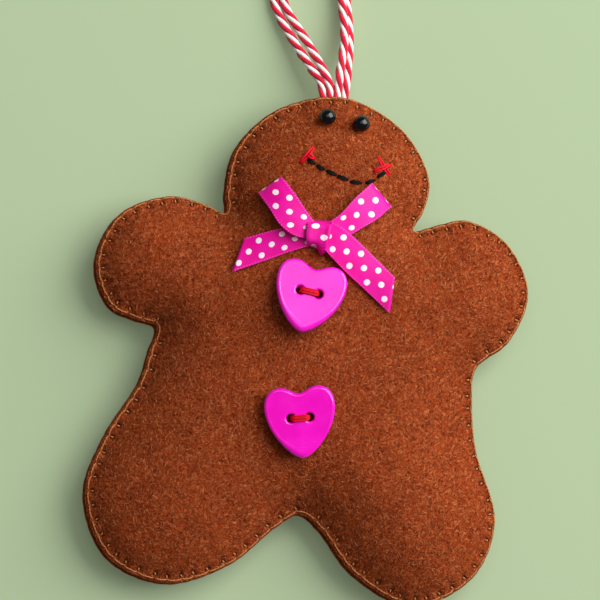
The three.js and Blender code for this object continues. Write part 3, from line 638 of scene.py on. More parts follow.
# Handled gloss: faint smears and hairline scratches on hard polished pieces
gloss, gloss_in, gloss_out = new_effect("handled gloss", {"Smooth": "Float", "Smeared": "Float"},
                                        ("Roughness", "Height"))
gloss_place = own_place(gloss)
smears = noise(gloss, gloss_place, 320.0, 3.0)
hairs = noise(gloss, reckon_place(gloss, "MULTIPLY", gloss_place, (300, 4200, 300)), 1.0, 1.0)
hairs = spread(gloss, hairs, 0.66, 0.74)
share = plus(gloss, spread(gloss, smears, 0.4, 0.7), times(gloss, hairs, 0.4))
dulling = minus(gloss, gloss_in["Smeared"], gloss_in["Smooth"])
gloss.links.new(plus(gloss, gloss_in["Smooth"], times(gloss, share, dulling)), gloss_out["Roughness"])
gloss.links.new(minus(gloss, smears, hairs), gloss_out["Height"])


def gloss_nodes(tree, shader, smooth, smeared):
    """Links the handled gloss to a shader's roughness, and returns its height."""
    film = add_node(tree, "Group", {"Smooth": smooth, "Smeared": smeared}, node_tree=gloss).outputs
    tree.links.new(film["Roughness"], shader.inputs["Roughness"])
    return film["Height"]


bead_glass, tree, shader = new_material("black_bead", Coat_Weight=0.15, Coat_Roughness=0.05,
                                        Specular_IOR_Level=0.4)
raise_surface(tree, shader, gloss_nodes(tree, shader, 0.14, 0.22), 0.00001, 0.3)
bead_tone = noise(tree, own_place(tree), 500.0)
set_colour(tree, shader, blend_colours(tree, bead_tone, shade(3, 4, 7), shade(8, 10, 15)))

# Spun fibres: streaks that run along a thread, for flat places of turns round it and millimetres along it
spun, spun_in, spun_out = new_effect("spun fibres", {"Slant": "Float"}, ("Streaks", "Height"))
turns_round, millimetres = flat_place(spun)[:2]
slanted = plus(spun, turns_round, times(spun, millimetres, spun_in["Slant"]))
angle = times(spun, slanted, 2 * math.pi)
round_place = add_node(spun, "CombineXYZ", {
    0: times(spun, reckon(spun, "COSINE", angle), 2.2),
    1: times(spun, reckon(spun, "SINE", angle), 2.2),
    2: times(spun, millimetres, 0.7),
}).outputs[0]
streaks = noise(spun, round_place, 2.0, 3.0)
spun.links.new(spread(spun, streaks, 0.32, 0.68), spun_out["Streaks"])
spun.links.new(streaks, spun_out["Height"])


def thread_material(name, dark, light, slant=0.4, **surface):
    material, tree, shader = new_material(name, **{"Roughness": 0.6, "Specular_IOR_Level": 0.3, **surface})
    yarn = add_node(tree, "Group", {"Slant": slant}, node_tree=spun).outputs
    set_colour(tree, shader, blend_colours(tree, yarn["Streaks"], shade(*dark), shade(*light)))
    raise_surface(tree, shader, yarn["Height"], 0.00006, 0.7)
    return material


def path_frames(path):
    """Directions along a path: ahead, to the side and up, without twisting."""
    ahead = np.gradient(path, axis=0)
    ahead /= np.linalg.norm(ahead, axis=1)[:, None]
    side = np.empty_like(path)
    first = np.cross(ahead[0], (0, 0, 1))
    side[0] = first if np.linalg.norm(first) > 0.1 else (1, 0, 0)
    for i in range(len(path)):
        last = side[max(i - 1, 0)]
        flat = last - ahead[i] * (last @ ahead[i])
        side[i] = flat / np.linalg.norm(flat)
    return ahead, side, np.cross(side, ahead)


def round_strand(path, radius, number=0, sides=7):
    """A round strand along a path, with rounded ends."""
    ahead, side, up = path_frames(path)
    path = np.vstack([path[:1] - 0.6 * radius * ahead[:1], path, path[-1:] + 0.6 * radius * ahead[-1:]])
    side, up = (np.vstack([way[:1], way, way[-1:]]) for way in (side, up))
    girth = np.full(len(path), radius)
    girth[[0, -1]] *= 0.15
    angles = 2 * math.pi * np.arange(sides) / sides
    rim = np.cos(angles)[None, :, None] * side[:, None] + np.sin(angles)[None, :, None] * up[:, None]
    points = (path[:, None] + rim * girth[:, None, None]).reshape(-1, 3)
    quads = np.vstack([ring_quads(i * sides, (i + 1) * sides, sides) for i in range(len(path) - 1)])
    along = lengths_along(path)
    turns, spans = np.arange(sides + 1) / sides, len(path) - 1
    corners = np.stack([
        np.column_stack([np.tile(turns[lead:lead + sides], spans), np.repeat(along[row:spans + row], sides)])
        for lead, row in ((0, 0), (1, 0), (1, 1), (0, 1))
    ], axis=1)
    return points, quads, corners, number


def twisted(path, plies, ply_radius, spread_radius, lay, sides=7, numbers=(0,)):
    """Plies laid round each other along a path, one turn in each lay; a second material's are thinner."""
    ahead, side, up = path_frames(path)
    along = lengths_along(path)
    strands = []
    for ply in range(plies):
        angle = 2 * math.pi * (along / lay + ply / plies)
        offset = np.cos(angle)[:, None] * side + np.sin(angle)[:, None] * up
        number = numbers[ply % len(numbers)]
        radius = ply_radius * (1 - 0.16 * number)
        strands.append(round_strand(path + spread_radius * offset, radius, number, sides))
    return strands


def there_and_back(half):
    """The points of a staple, from those of its right half, which ends at the middle."""
    return [(-x, y, z) for x, y, z in half] + half[::-1]


black_floss = thread_material("black_floss", (3, 3, 4), (22, 20, 22), Roughness=0.75, Specular_IOR_Level=0.15)

for side_name, eye in zip(("left", "right"), EYES):
    seat = seat_on(eye)
    arc = np.radians(np.linspace(15.5, 164.5, 26))
    bore = [(-1.5, 0.4), (-1.35, BORE_RADIUS), (0, BORE_RADIUS), (1.35, BORE_RADIUS), (1.5, 0.4)]
    profile = np.vstack([BEAD_RADIUS * np.column_stack([np.cos(arc), np.sin(arc)]), bore])
    ring = np.radians(np.arange(0, 360, 9))
    points = np.array([(x, r * math.cos(a), r * math.sin(a)) for x, r in profile for a in ring])
    points += (0, 0, BEAD_RADIUS)
    size, rows = len(ring), len(profile)
    faces = np.vstack([ring_quads(i * size, (i + 1) % rows * size, size) for i in range(rows)])
    bead = make_piece(side_name + "_bead", [(on_seat(seat, points), faces, None, 0)], bead_glass)
    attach(bead, "ornament")
    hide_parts(side_name + "_eye_bead")
    half = [(0.3, 0, -2.05), (0.6, 0, -1.35), (0.95, 0, -0.35), (1.25, 0, 0.25), (1.52, 0, 0.75),
            (1.55, 0, 1.35), (1.3, 0, 1.6), (0.5, 0, 1.6)]
    route = on_seat(seat, smooth_path(there_and_back(half), 6))
    strands = twisted(route, plies=2, ply_radius=0.07, spread_radius=0.06, lay=1.2, sides=6)
    thread = make_piece(side_name + "_bead_thread", strands, black_floss)
    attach(thread, "ornament")
    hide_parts(side_name + "_eye_thread")

# Mouth: one length of black floss in seven running stitches.
# Three strands lie side by side in each dash, and dive into the felt at its ends.
FLOSS_RADIUS = 0.15
FLOSS_DIVE = 0.75  # how far a stroke's ends go down into the felt


def sewn_stroke(start, end, strands, rise, fan=0.0, radius=FLOSS_RADIUS, apart=1.8):
    """Strands that come up through the felt at start, lie on it, and go down at end."""
    start, end = np.asarray(start, float), np.asarray(end, float)
    ahead = (end - start) / np.linalg.norm(end - start)
    across = np.array([-ahead[1], ahead[0]])
    shares = np.linspace(0, 1, 13)
    pinch = 0.3 + 0.7 * np.sin(math.pi * shares) ** 0.8
    hump = np.sin(math.pi * shares) ** 0.4
    made = []
    for k in range(strands):
        lane = k - (strands - 1) / 2
        aside = lane * (pinch * apart * radius + fan * (shares - 0.5))
        plan = start + np.outer(shares, end - start) + np.outer(aside, across)
        over = rise + 0.05 * math.cos(2.1 * k) - 0.5 * (0.4 * lane) ** 2
        level = smooth_front(plan) + (over + FLOSS_DIVE) * hump - FLOSS_DIVE
        made.append(round_strand(np.column_stack([plan, level]), radius, 0, 8))
    return made


last_dash = len(DASHES) - 1
mouth_parts = []
for i, dash in enumerate(DASHES):
    ahead = DASH_HALVES[i] * dash_ways[i]
    rise = 0.45 if i == last_dash else 0.16  # the last dash lies over the cheek
    mouth_parts += sewn_stroke(dash - ahead, dash + ahead, 3, rise)
    if i < last_dash:
        next_hole = DASHES[i + 1] - (DASHES[i + 1] - dash) * 0.35
        under = np.linspace(dash + 0.8 * ahead, next_hole, 6)
        mouth_parts.append(round_strand(np.column_stack([under, smooth_front(under) - 1.8]), 0.3, 0, 8))
mouth = make_piece("mouth_floss", mouth_parts, black_floss)
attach(mouth, "ornament")
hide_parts("mouth_thread")

# Cheeks: bright red floss in two crossed strokes at each end of the mouth.
# The strands of a stroke spread a little, and the second stroke lies over the first.
red_floss = thread_material("red_floss", (174, 0, 20), (242, 4, 42), Roughness=0.5, Specular_IOR_Level=0.22)
for side_name, (first, second) in CHEEKS.items():
    parts = sewn_stroke(*first, 2, rise=0.25, fan=0.22, radius=0.22, apart=2.5)
    parts += sewn_stroke(*second, 2, rise=0.55, fan=-0.16, radius=0.21, apart=2.5)
    cheek = make_piece(side_name + "_cheek_floss", parts, red_floss)
    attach(cheek, "ornament")
    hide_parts(side_name + "_cheek_thread")

# Bow: one length of hot-pink satin ribbon, 6 mm wide, printed with white dots in three rows.
# Two loops are creased flat at their ends, the knot is wrapped over them, and the tails are cut at a slant.
# Each station below is a place on the upper edge, then one on the lower edge, with heights over the felt.
RIBBON_WIDTH = 6.0
DOT_PITCH = 4.9
DOT_RADIUS = 0.62
DOT_ROW = 1.64  # from the middle of the ribbon to its outer rows of dots
LEFT_LOOP = [
    ((-1.0, 24.8, 1.3), (-1.2, 22.2, 1.3)),
    ((-3.4, 27.0, 0.9), (-5.4, 23.6, 0.9)),
    ((-6.2, 31.1, 0.5), (-9.8, 26.7, 0.5)),
    ((-8.1, 33.1, 0.42), (-12.45, 29.5, 0.42)),
    ((-8.4, 33.5, 0.95), (-12.8, 29.85, 1.3)),
    ((-8.15, 33.2, 1.45), (-12.5, 29.5, 2.2)),
    ((-6.8, 31.8, 2.0), (-10.0, 26.55, 3.0)),
    ((-5.07, 29.87, 2.3), (-7.92, 23.86, 3.0)),
    ((-2.6, 26.75, 2.35), (-4.9, 21.9, 2.6)),
    ((-1.0, 24.9, 2.1), (-1.6, 21.5, 1.9)),
]
RIGHT_LOOP = [
    ((1.35, 24.6, 1.3), (2.35, 22.2, 1.3)),
    ((4.65, 27.2, 0.9), (6.95, 24.2, 0.9)),
    ((7.65, 31.2, 0.5), (11.35, 27.2, 0.5)),
    ((9.5, 33.5, 0.42), (13.85, 29.2, 0.42)),
    ((9.75, 33.85, 1.1), (14.15, 29.45, 1.1)),
    ((9.45, 33.5, 1.85), (13.75, 29.1, 1.85)),
    ((8.31, 32.29, 2.3), (11.44, 26.69, 2.2)),
    ((6.65, 30.44, 2.45), (8.99, 24.9, 2.15)),
    ((4.32, 27.35, 2.3), (6.15, 22.9, 1.7)),
    ((1.75, 24.9, 2), (2.95, 21.6, 1.5)),
]
LEFT_TAIL = [
    ((-1.0, 22.9, 0.8), (-1.0, 20.3, 1.0)),
    ((-4.47, 23.26, 0.5), (-3.3, 19.4, 1.0)),
    ((-7.08, 23.15, 0.45), (-5.85, 18.3, 0.8)),
    ((-10.88, 21.89, 0.7), (-11.11, 15.86, 0.7)),
    ((-14.79, 20.36, 0.9), (-16.64, 13.4, 0.6)),
]
RIGHT_TAIL = [
    ((2.3, 25.3, 2.9), (1.4, 19.7, 2.5)),
    ((4.58, 24.34, 3.1), (3.05, 18.19, 1.9)),
    ((6.81, 22.85, 2.6), (5.61, 15.94, 1.1)),
    ((11.61, 18.97, 2.0), (10.68, 11.96, 0.6)),
    ((16.13, 15.2, 2.0), (15.74, 7.98, 0.5)),
]


def thick_sheet(grid, corners, thickness):
    """A grid of points as cloth with a thickness at each column."""
    rows, columns = grid.shape[:2]
    normal = np.cross(np.gradient(grid, axis=0), np.gradient(grid, axis=1))
    normal /= np.linalg.norm(normal, axis=2)[..., None]
    half = np.asarray(thickness)[None, :, None] / 2
    points = np.vstack([(grid + normal * half).reshape(-1, 3), (grid - normal * half).reshape(-1, 3)])
    number = np.arange(rows * columns).reshape(rows, columns)
    quads = [number[:-1, :-1], number[1:, :-1], number[1:, 1:], number[:-1, 1:]]
    quads = np.stack(quads, axis=2).reshape(-1, 4)
    rim = np.concatenate([number[0, :-1], number[:-1, -1], number[-1, :0:-1], number[:0:-1, 0]])
    after = np.roll(rim, -1)
    back = rows * columns
    wall = np.column_stack([rim, after, after + back, rim + back])
    faces = np.vstack([quads, quads[:, ::-1] + back, wall])
    flat = np.vstack([corners.reshape(-1, 2)] * 2)
    return points, faces, flat[faces], 0


LANES = np.array([-1, -0.965, -0.91, -0.8, -0.6, -0.4, -0.2, 0, 0.2, 0.4, 0.6, 0.8, 0.91, 0.965, 1])
LANE_THICKNESS = np.where(np.abs(LANES) > 0.9, 0.34, 0.22)


def ribbon_strip(stations, fold=None, lead=(0, 0), crown=0.0):
    """Ribbon between its two edges; fold is the station where the count of its length starts."""
    stations = np.array(stations, float)
    edges = []
    for k in range(2):
        plan = on_figure(stations[:, k, :2])
        edges.append(smooth_path(np.column_stack([plan, stations[:, k, 2]]), 9))
    first, second = edges
    counts = [lengths_along(way) for way in edges]
    if fold is not None:
        counts = [count - count[9 * fold] for count in counts]
    share = (1 - LANES) / 2
    grid = first[:, None] * (1 - share)[None, :, None] + second[:, None] * share[None, :, None]
    along = (counts[0] + lead[0])[:, None] * (1 - share) + (counts[1] + lead[1])[:, None] * share
    bow = crown * (1 - LANES ** 2)
    level = smooth_front(grid[..., :2].reshape(-1, 2)).reshape(grid.shape[:2]) + grid[..., 2] + bow
    grid = np.concatenate([grid[..., :2], level[..., None]], axis=2)
    corners = np.stack([np.broadcast_to(LANES * RIBBON_WIDTH / 2, along.shape), along], axis=2)
    return thick_sheet(grid, corners, LANE_THICKNESS)


def wrapped_knot():
    """The band over the middle, narrower at its lower end, which runs out in a small tip."""
    v, u = np.meshgrid(np.linspace(0, 1, 25), np.linspace(0, 1, len(LANES)), indexing="ij")
    corners = on_figure([(-2.35, 25.2), (2.75, 25.45), (-2.0, 20.2), (1.8, 19.6)])
    top_left, top_right, low_left, low_right = corners
    across = u[..., None]
    plan = (1 - v[..., None]) * (top_left * (1 - across) + top_right * across)
    plan += v[..., None] * (low_left * (1 - across) + low_right * across)
    plan[..., 1] -= 1.3 * np.clip((v - 0.6) / 0.4, 0, 1) ** 2 * np.exp(-(((u - 0.78) / 0.2) ** 2))
    plan[..., 0] -= 0.35 * np.sin(math.pi * v) * (1 - u) ** 2
    level = 0.6 + 2.7 * (1 - np.abs(2 * v - 1) ** 6) * (1 - 0.14 * (1 - u) ** 6)
    level += 0.3 * np.exp(-(((u - 0.93) / 0.08) ** 2)) * np.sin(math.pi * v)
    level += 0.1 * np.sin(2 * math.pi * (1.3 * u + 0.35 * v)) * np.sin(math.pi * v)
    bed = smooth_front(plan.reshape(-1, 2)).reshape(u.shape)
    grid = np.concatenate([plan, (bed + level)[..., None]], axis=2)
    corners = np.stack([3.9 * u - 3.0, (v - 0.22) * 6.4], axis=2)
    return thick_sheet(grid[:, ::-1], corners[:, ::-1], LANE_THICKNESS)


satin, tree, shader = new_material("dotted_satin", Specular_IOR_Level=0.22, Anisotropic=0.4,
                                   Sheen_Weight=0.03, Sheen_Roughness=0.35, Sheen_Tint=shade(255, 120, 210))
lane, along = flat_place(tree)[:2]
from_middle = reckon(tree, "ABSOLUTE", lane)


def from_dot(across, start):
    """Distance to the nearest dot of a row, which starts at this length."""
    step = reckon(tree, "FLOORED_MODULO", plus(tree, along, start), DOT_PITCH)
    step = minus(tree, step, DOT_PITCH / 2)
    return reckon(tree, "SQRT", plus(tree, times(tree, across, across), times(tree, step, step)))


def waves(tree, way, pitch):
    return reckon(tree, "SINE", times(tree, way, 2 * math.pi / pitch))


from_outer_row = reckon(tree, "ABSOLUTE", minus(tree, from_middle, DOT_ROW))
to_dot = reckon(tree, "MINIMUM", from_dot(from_outer_row, DOT_PITCH / 2), from_dot(from_middle, 0.0))
ragged = minus(tree, noise(tree, own_place(tree), 3500.0), 0.5)
to_dot = plus(tree, to_dot, times(tree, ragged, 0.12))
dots = spread(tree, to_dot, DOT_RADIUS + 0.04, DOT_RADIUS - 0.04)
ribs = waves(tree, along, 0.4)
warp = waves(tree, lane, 0.45)
weave = plus(tree, times(tree, ribs, 0.6), times(tree, times(tree, ribs, warp), 0.4))
selvedge = spread(tree, from_middle, 2.62, 2.74)
nicked = times(tree, selvedge, spread(tree, waves(tree, along, 0.62), -0.2, 0.7))
patchy = noise(tree, own_place(tree), 260.0)
colour = blend_colours(tree, spread(tree, patchy, 0.35, 0.65), shade(236, 5, 154), shade(247, 16, 172))
colour = blend_colours(tree, spread(tree, weave, -1, 1, 0.0, 0.5), colour, shade(190, 3, 116))
colour = blend_colours(tree, times(tree, nicked, 0.6), colour, shade(255, 92, 188))
set_colour(tree, shader, blend_colours(tree, dots, colour, shade(250, 232, 243)))
tree.links.new(spread(tree, weave, -1, 1, 0.52, 0.42), shader.inputs["Roughness"])
lifted = plus(tree, times(tree, weave, 0.25), times(tree, dots, 0.6))
raise_surface(tree, shader, minus(tree, lifted, times(tree, nicked, 0.8)), 0.00004, 0.8)

bow = make_piece("ribbon_bow_satin", [
    ribbon_strip(LEFT_TAIL, None, (-6.7, -5.7), 0.12),
    ribbon_strip(LEFT_LOOP, 4, (0, 0), 0.2),
    ribbon_strip(RIGHT_LOOP, 4, (0.3, 0.3), 0.2),
    ribbon_strip(RIGHT_TAIL, None, (-4.15, -1.35), 0.2),
    wrapped_knot(),
], satin)
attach(bow, "ornament")
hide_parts("ribbon_bow")

# Tack thread: a short pink staple that holds the bow's knot to the felt.
# It goes through the felt on both sides of the middle, and is hidden under the knot.
pink_thread = thread_material("pink_thread", (170, 8, 100), (226, 30, 150))
tack_seat = seat_on(on_figure((0.6, 22.4)), 14)
half = [(0.4, 0, -2.1), (1.1, 0, -1.6), (1.35, 0, -0.6), (1.35, 0, 0.8), (1.0, 0, 1.5), (0.3, 0, 1.6)]
tack_route = on_seat(tack_seat, smooth_path(there_and_back(half), 6))
tack_plies = twisted(tack_route, plies=2, ply_radius=0.13, spread_radius=0.12, lay=1.6)
tack = make_piece("bow_tack", tack_plies, pink_thread)
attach(tack, "ornament")
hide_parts("bow_tack_thread")

# Buttons: two heart-shaped buttons of glossy magenta plastic, moulded with a rounded rim and two holes.
# Each is sewn on by red floss that crosses between its holes, and can turn a little on it.
BUTTON_HALF, BUTTON_HEIGHT, BUTTON_THICKNESS = 7.2, 14.5, 2.6
FACE_INSET, FACE_HEIGHT = 0.85, BUTTON_THICKNESS - 0.04
UNDER_INSET = 0.8
HOLE_RADIUS, HOLE_MOUTH, HOLE_PLACE = 0.9, 1.25, 1.9
RIM_POINTS, FACE_SPACING = 180, 0.9
BUTTON_FLOSS = 0.17


def heart_outline(per_curve=26):
    half, lobe = BUTTON_HALF, 0.43 * BUTTON_HEIGHT
    notch, tip = lobe - 0.09 * BUTTON_HEIGHT, lobe - BUTTON_HEIGHT
    right = [
        [(0, tip), (0.3 * half, tip), (half, 0.35 * tip), (half, 0.36 * lobe)],
        [(half, 0.36 * lobe), (half, 0.8 * lobe), (0.78 * half, lobe), (0.52 * half, lobe)],
        [(0.52 * half, lobe), (0.3 * half, lobe), (0.17 * half, notch), (0, notch)],
    ]
    t = np.linspace(0, 1, per_curve, endpoint=False)[:, None]
    curves = []
    for a, b, c, d in np.array(right):
        curves.append(a * (1 - t) ** 3 + 3 * b * t * (1 - t) ** 2 + 3 * c * t ** 2 * (1 - t) + d * t ** 3)
    side = np.vstack(curves)
    other = (side * (-1, 1))[:0:-1]
    ring = np.vstack([side, [(0, notch)], other])
    closed = np.vstack([ring, ring[:1]])
    return at_lengths(closed, np.linspace(0, lengths_along(closed)[-1], RIM_POINTS, endpoint=False))


def button_parts():
    """The rounded rim, the face, the underside and the two holes of a button."""
    ring = heart_outline()
    above_tip = ring[:, 1] - ring[:, 1].min()
    rim = outward_of(ring, 2) * (1 + 1.05 * np.exp(-(above_tip / 2.8) ** 2))[:, None]  # widest at the tip
    curve = np.radians(np.linspace(0, 90, 7))
    low = [(UNDER_INSET * (1 - math.sin(a)), 0.5 * (1 - math.cos(a))) for a in curve]
    high = [(0.6 * (1 - math.cos(a)), BUTTON_THICKNESS - 0.7 * (1 - math.sin(a))) for a in curve]
    levels = low + high + [(FACE_INSET, FACE_HEIGHT)]
    rings = [np.column_stack([ring - rim * inset, np.full(RIM_POINTS, z)]) for inset, z in levels]
    walls = [ring_quads(k * RIM_POINTS, (k + 1) * RIM_POINTS, RIM_POINTS) for k in range(len(rings) - 1)]
    parts = [(np.vstack(rings), walls, None, 0)]
    turn = np.radians(np.arange(0, 360, 12))
    circle = np.column_stack([np.cos(turn), np.sin(turn)])
    size = len(turn)
    middles = np.array([(-HOLE_PLACE, 0), (HOLE_PLACE, 0)])
    mouths = [circle * HOLE_MOUTH + middle for middle in middles]
    for z, inset, under in ((FACE_HEIGHT, FACE_INSET, False), (0.0, UNDER_INSET, True)):
        plan, faces = filled_plan(ring - rim * inset, FACE_SPACING, mouths)
        gap = np.linalg.norm(plan[:, None] - middles, axis=2).min(axis=1)
        dish = 0.0 if under else -0.05 * np.exp(-((gap / 3.2) ** 2))
        points = np.column_stack([plan, np.full(len(plan), z) + dish])
        parts.append((points, faces[:, ::-1] if under else faces, None, 0))
    steps = [(HOLE_MOUTH, BUTTON_THICKNESS - 0.075), (1.08, BUTTON_THICKNESS - 0.12),
             (0.95, BUTTON_THICKNESS - 0.25), (HOLE_RADIUS, BUTTON_THICKNESS - 0.45),
             (HOLE_RADIUS, 0.35), (HOLE_MOUTH, 0.0)]
    for middle in middles:
        rings = [np.column_stack([circle * r + middle, np.full(size, z)]) for r, z in steps]
        walls = [ring_quads(k * size, (k + 1) * size, size) for k in range(len(steps) - 1)]
        parts.append((np.vstack(rings), walls, None, 0))
    return parts


plastic, tree, shader = new_material("magenta_plastic", Coat_Weight=0.35, Coat_Roughness=0.06,
                                     Subsurface_Weight=0.06, Subsurface_Scale=0.001, Specular_IOR_Level=0.5)
raise_surface(tree, shader, gloss_nodes(tree, shader, 0.16, 0.27), 0.00001, 0.25)
swirl = spread(tree, noise(tree, own_place(tree), 160.0, 3.0), 0.3, 0.7)
set_colour(tree, shader, blend_colours(tree, swirl, shade(238, 2, 190), shade(248, 12, 204)))

for where, (place, turn, tip) in BUTTONS.items():
    seat = seat_on(place, turn)
    tipped = (seat[0], seat[1] @ np.array(Matrix.Rotation(math.radians(tip), 3, "X")))
    under = 0.3 - 0.05 * tip  # a tipped button needs more room under it
    parts = [(on_seat(tipped, points + (0, 0, under)), *rest) for points, *rest in button_parts()]
    button = make_piece(where + "_heart", parts, plastic)
    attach(button, where + "_button")
    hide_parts(where + "_heart_button")
    strands = []
    top = under + BUTTON_THICKNESS
    for lane in range(5):
        across = (lane - 2) * 0.25
        lift = 0.3 - 0.4 * across ** 2 + 0.09 * math.cos(3.1 * lane)
        close = 0.5 * across
        half = [
            (0.5, close, -2.2), (1.3, close, -2.0), (1.75, close, -1.2), (1.85, close, 0.4),
            (HOLE_PLACE, close, top - 0.9), (1.75, 0.7 * across, top - 0.1),
            (1.3, across, top + lift - 0.06), (0.5, across, top + lift),
        ]
        route = on_seat(tipped, smooth_path(there_and_back(half), 5))
        strands.append(round_strand(route, BUTTON_FLOSS, 0, 8))
    thread = make_piece(where + "_button_floss", strands, red_floss)
    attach(thread, "ornament")
    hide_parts(where + "_button_thread")

# Back panel: a second piece of the same felt, cut a little off the front one, so its edge shows on the left.
# It bulges less than the front and is pressed flat where the figure lies on it.
BACK_PUFF = 5.6
BACK_SHIFT = np.array([-0.5, -0.4])
BACK_INSETS = [0.35, 0.7, 1.1, 1.5, 2.0, 2.8]
BACK_SPACING = 1.1
BACK_HAIRS = 7000


def felt_back(places):
    """Height of the outside of the back."""
    distance = seam_distance(places)
    share = rise_share(distance)
    fall = SEAM_HEIGHT - SEAM_GAP - FELT_THICKNESS - BACK_PUFF * share - twine_lift(places, distance)
    fall -= 0.4 * soft_lumps(-places) * np.clip(2.5 * share, 0, 1)
    for hole in stitch_holes:
        near = (np.abs(places - hole + BACK_SHIFT) < 2).all(axis=1)
        gap = places[near] - hole + BACK_SHIFT
        fall[near] += 0.6 * np.exp(-(gap ** 2).sum(axis=1) / 0.3)
    return 0.02 + 0.5 * (fall + np.sqrt(fall ** 2 + 0.12))


back_points, back_faces = felt_shell(
    BACK_INSETS, BACK_SPACING,
    lambda places: np.minimum(SEAM_HEIGHT - SEAM_SHUT, felt_back(places) + inner_depth),
    felt_back, BACK_SHIFT,
)
back_panel = make_piece("back_panel_felt", [(back_points, back_faces, None, 0)], felt)
lying = fuzz(felt_back, BACK_HAIRS, 5, -1)
lying[0][:, :2] += BACK_SHIFT
lying[0][:, 2] = np.maximum(lying[0][:, 2], 0.01)
back_fuzz = make_piece("back_panel_fuzz", [(*lying, 0)], fibre_wool)
for piece in (back_panel, back_fuzz):
    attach(piece, "ornament")
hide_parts("back_panel")

# Stuffing: loose white fibre packed between the panels, which gives the figure its pillow shape.
# It can't be seen in the finished figure.
STUFFING_INSETS = [2.6, 3.1, 3.7]
STUFFING_SPACING = 1.8
stuffing_wool, tree, shader = new_material("white_stuffing", Roughness=1.0, Sheen_Weight=0.3)
mat = wool_nodes(tree)
colour = blend_colours(tree, mat["Fibres"], shade(226, 220, 208), shade(247, 244, 238))
# Painted shade: the gaps between the stuffing's fibres are darkened for the shade in them.
colour = blend_colours(tree, times(tree, mat["ShadedGaps"], 0.6), colour, shade(196, 188, 174))
set_colour(tree, shader, colour)
raise_surface(tree, shader, mat["Height"], 0.0005)


def stuffing_top(places):
    under_felt = np.maximum(smooth_front(places) - 1.75, SEAM_HEIGHT + 0.3)
    return under_felt + 0.4 * soft_lumps(places) - 0.3


def stuffing_bottom(places):
    return np.minimum(felt_back(places - BACK_SHIFT) + 1.6, SEAM_HEIGHT - 0.3)


stuffing_points, stuffing_faces = felt_shell(STUFFING_INSETS, STUFFING_SPACING, stuffing_top, stuffing_bottom)
stuffing = make_piece("fibre_stuffing", [(stuffing_points, stuffing_faces, None, 0)], stuffing_wool)
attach(stuffing, "ornament")
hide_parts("stuffing")

# Hanging loop: two strands of baker's twine side by side, four plies each, red and white by turns.
# Their four ends are tucked into the seam at the crown and tied in a knot inside the head.
# The routes are millimetres right of and beyond the bend at the crown, then over the table.
BEND = np.array([twine_place[0], twine_place[1] + 2.6, 0])
OUTER_ROUTE = [
    (-2.0, -9.0, SEAM_HEIGHT - 0.5), (-2.3, -2.6, SEAM_HEIGHT), (-2.9, 0.0, SEAM_HEIGHT - 0.1),
    (-5.0, 2.6, 5.0), (-8.95, 7.6, 2.8), (-13.5, 14.6, 1.2), (-15.3, 22.0, 1.0), (-14.6, 29.0, 1.0),
    (-9.4, 33.0, 1.0), (-3.6, 30.4, 1.0), (-0.9, 24.0, 1.0), (0.75, 17.0, 1.1), (2.0, 9.4, 2.4),
    (2.2, 3.6, 4.7), (2.2, 0.0, SEAM_HEIGHT - 0.35), (1.95, -2.6, SEAM_HEIGHT - 0.2),
    (1.4, -9.0, SEAM_HEIGHT - 0.5),
]
INNER_ROUTE = [
    (-0.9, -9.0, SEAM_HEIGHT + 0.5), (-0.85, -2.6, SEAM_HEIGHT + 0.15), (-1.3, 0.0, SEAM_HEIGHT + 0.2),
    (-2.9, 2.9, 5.4), (-6.8, 8.4, 3.0), (-11.9, 15.6, 1.25), (-13.3, 22.6, 1.0), (-12.5, 28.0, 1.0),
    (-9.3, 30.8, 1.0), (-5.4, 28.8, 1.0), (-2.4, 23.6, 1.3), (-0.25, 17.0, 2.4), (1.0, 9.4, 4.0),
    (0.75, 3.6, 5.5), (0.65, 0.0, SEAM_HEIGHT + 0.3), (0.6, -2.6, SEAM_HEIGHT + 0.2),
    (0.5, -9.0, SEAM_HEIGHT + 0.5),
]
soft_cotton = {"Roughness": 0.85, "Sheen_Weight": 0.3}
red_ply = thread_material("red_ply", (186, 2, 38), (226, 14, 62), 0.25, **soft_cotton)
white_ply = thread_material("white_ply", (222, 214, 212), (252, 249, 247), 0.25, **soft_cotton)
for name, route in (("outer", OUTER_ROUTE), ("inner", INNER_ROUTE)):
    path = even_steps(smooth_path(np.array(route) + BEND, 12), 0.3)
    strands = twisted(path, plies=4, ply_radius=0.52, spread_radius=0.45, lay=8.2, sides=9, numbers=(0, 1))
    loop = make_piece(name + "_twine", strands, red_ply, white_ply)
    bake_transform(loop)
    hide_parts(name + "_twine_loop")

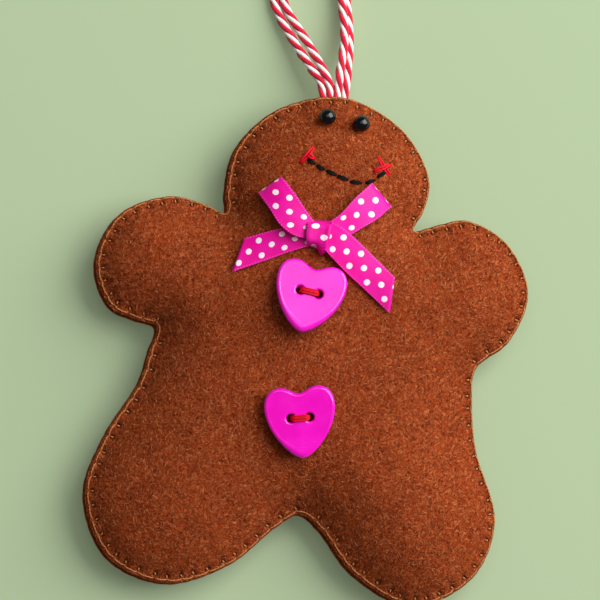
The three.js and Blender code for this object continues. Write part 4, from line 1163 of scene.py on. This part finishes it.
angle = np.linspace(0, 2 * math.pi, 90)
knot_path = np.column_stack([
    np.sin(angle) + 2 * np.sin(2 * angle), np.cos(angle) - 2 * np.cos(2 * angle), -1.2 * np.sin(3 * angle),
]) * 0.72 + (BEND[0], BEND[1] - 12.6, SEAM_HEIGHT)
knot_strands = twisted(knot_path, plies=4, ply_radius=0.36, spread_radius=0.36, lay=7.0, numbers=(0, 1))
inside_knot = make_piece("tucked_twine_knot", knot_strands, red_ply, white_ply)
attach(inside_knot, "ornament")
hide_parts("twine_knot")

# Blanket stitch: one caramel thread of two plies that closes the edge all round.
# It runs along the seam, and at each stitch a bar crosses the edge and sinks into the felt.
caramel = thread_material("caramel_thread", (150, 82, 30), (222, 146, 76), 0.5, Roughness=0.5,
                          Sheen_Weight=0.2)
fine_at = np.linspace(0, edge_length, round(edge_length / 0.22), endpoint=False)
fine_edge = at_lengths(closed_outline, fine_at)
fine_outward = outward_of(fine_edge, 5)
pull = np.exp(-((to_stitch(fine_at) / 0.42) ** 2))
run_plan = fine_edge - fine_outward * (run_inset(fine_outward) + 0.22 * pull)[:, None]
run_level = smooth_front(run_plan) + 0.09 - 0.4 * pull
edge_run = np.column_stack([run_plan, run_level])
stitch_parts = twisted(edge_run, plies=2, ply_radius=0.09, spread_radius=0.075, lay=1.4, sides=6)
for hole, rim, out in zip(stitch_holes, stitch_edges, stitch_outward):
    along = np.array([-out[1], out[0]])
    shares = np.array([-0.34, -0.17, 0.0, 0.14, 0.3])
    plan = hole - np.outer(shares, out) + np.outer([0.12, 0.06, 0, -0.04, -0.06], along)
    level = smooth_front(plan) + np.array([-1.1, -0.5, -0.24, -0.5, -1.3])
    bite = smooth_path(np.column_stack([plan, level]), 5)
    stitch_parts += twisted(bite, plies=2, ply_radius=0.12, spread_radius=0.09, lay=1.5, sides=6)
    if twine_lift(rim[None], np.zeros(1))[0] < 0.1:
        edge_out = max(0.0, out @ BACK_SHIFT)
        reach = np.array([0.4, 0.42, 0.5, 0.8, 1.2, 1.5])
        plan = rim + edge_out * out - np.outer(reach, out)
        level = felt_back(plan - BACK_SHIFT) + np.array([0.7, 0.2, -0.08, -0.08, 0.1, 0.8])
        bar = smooth_path(np.column_stack([plan, np.maximum(level, 0.25)]), 4)
        stitch_parts += twisted(bar, plies=2, ply_radius=0.115, spread_radius=0.1, lay=1.5, sides=6)
stitching = make_piece("edge_stitch_thread", stitch_parts, caramel)
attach(stitching, "ornament")
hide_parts("edge_stitching")
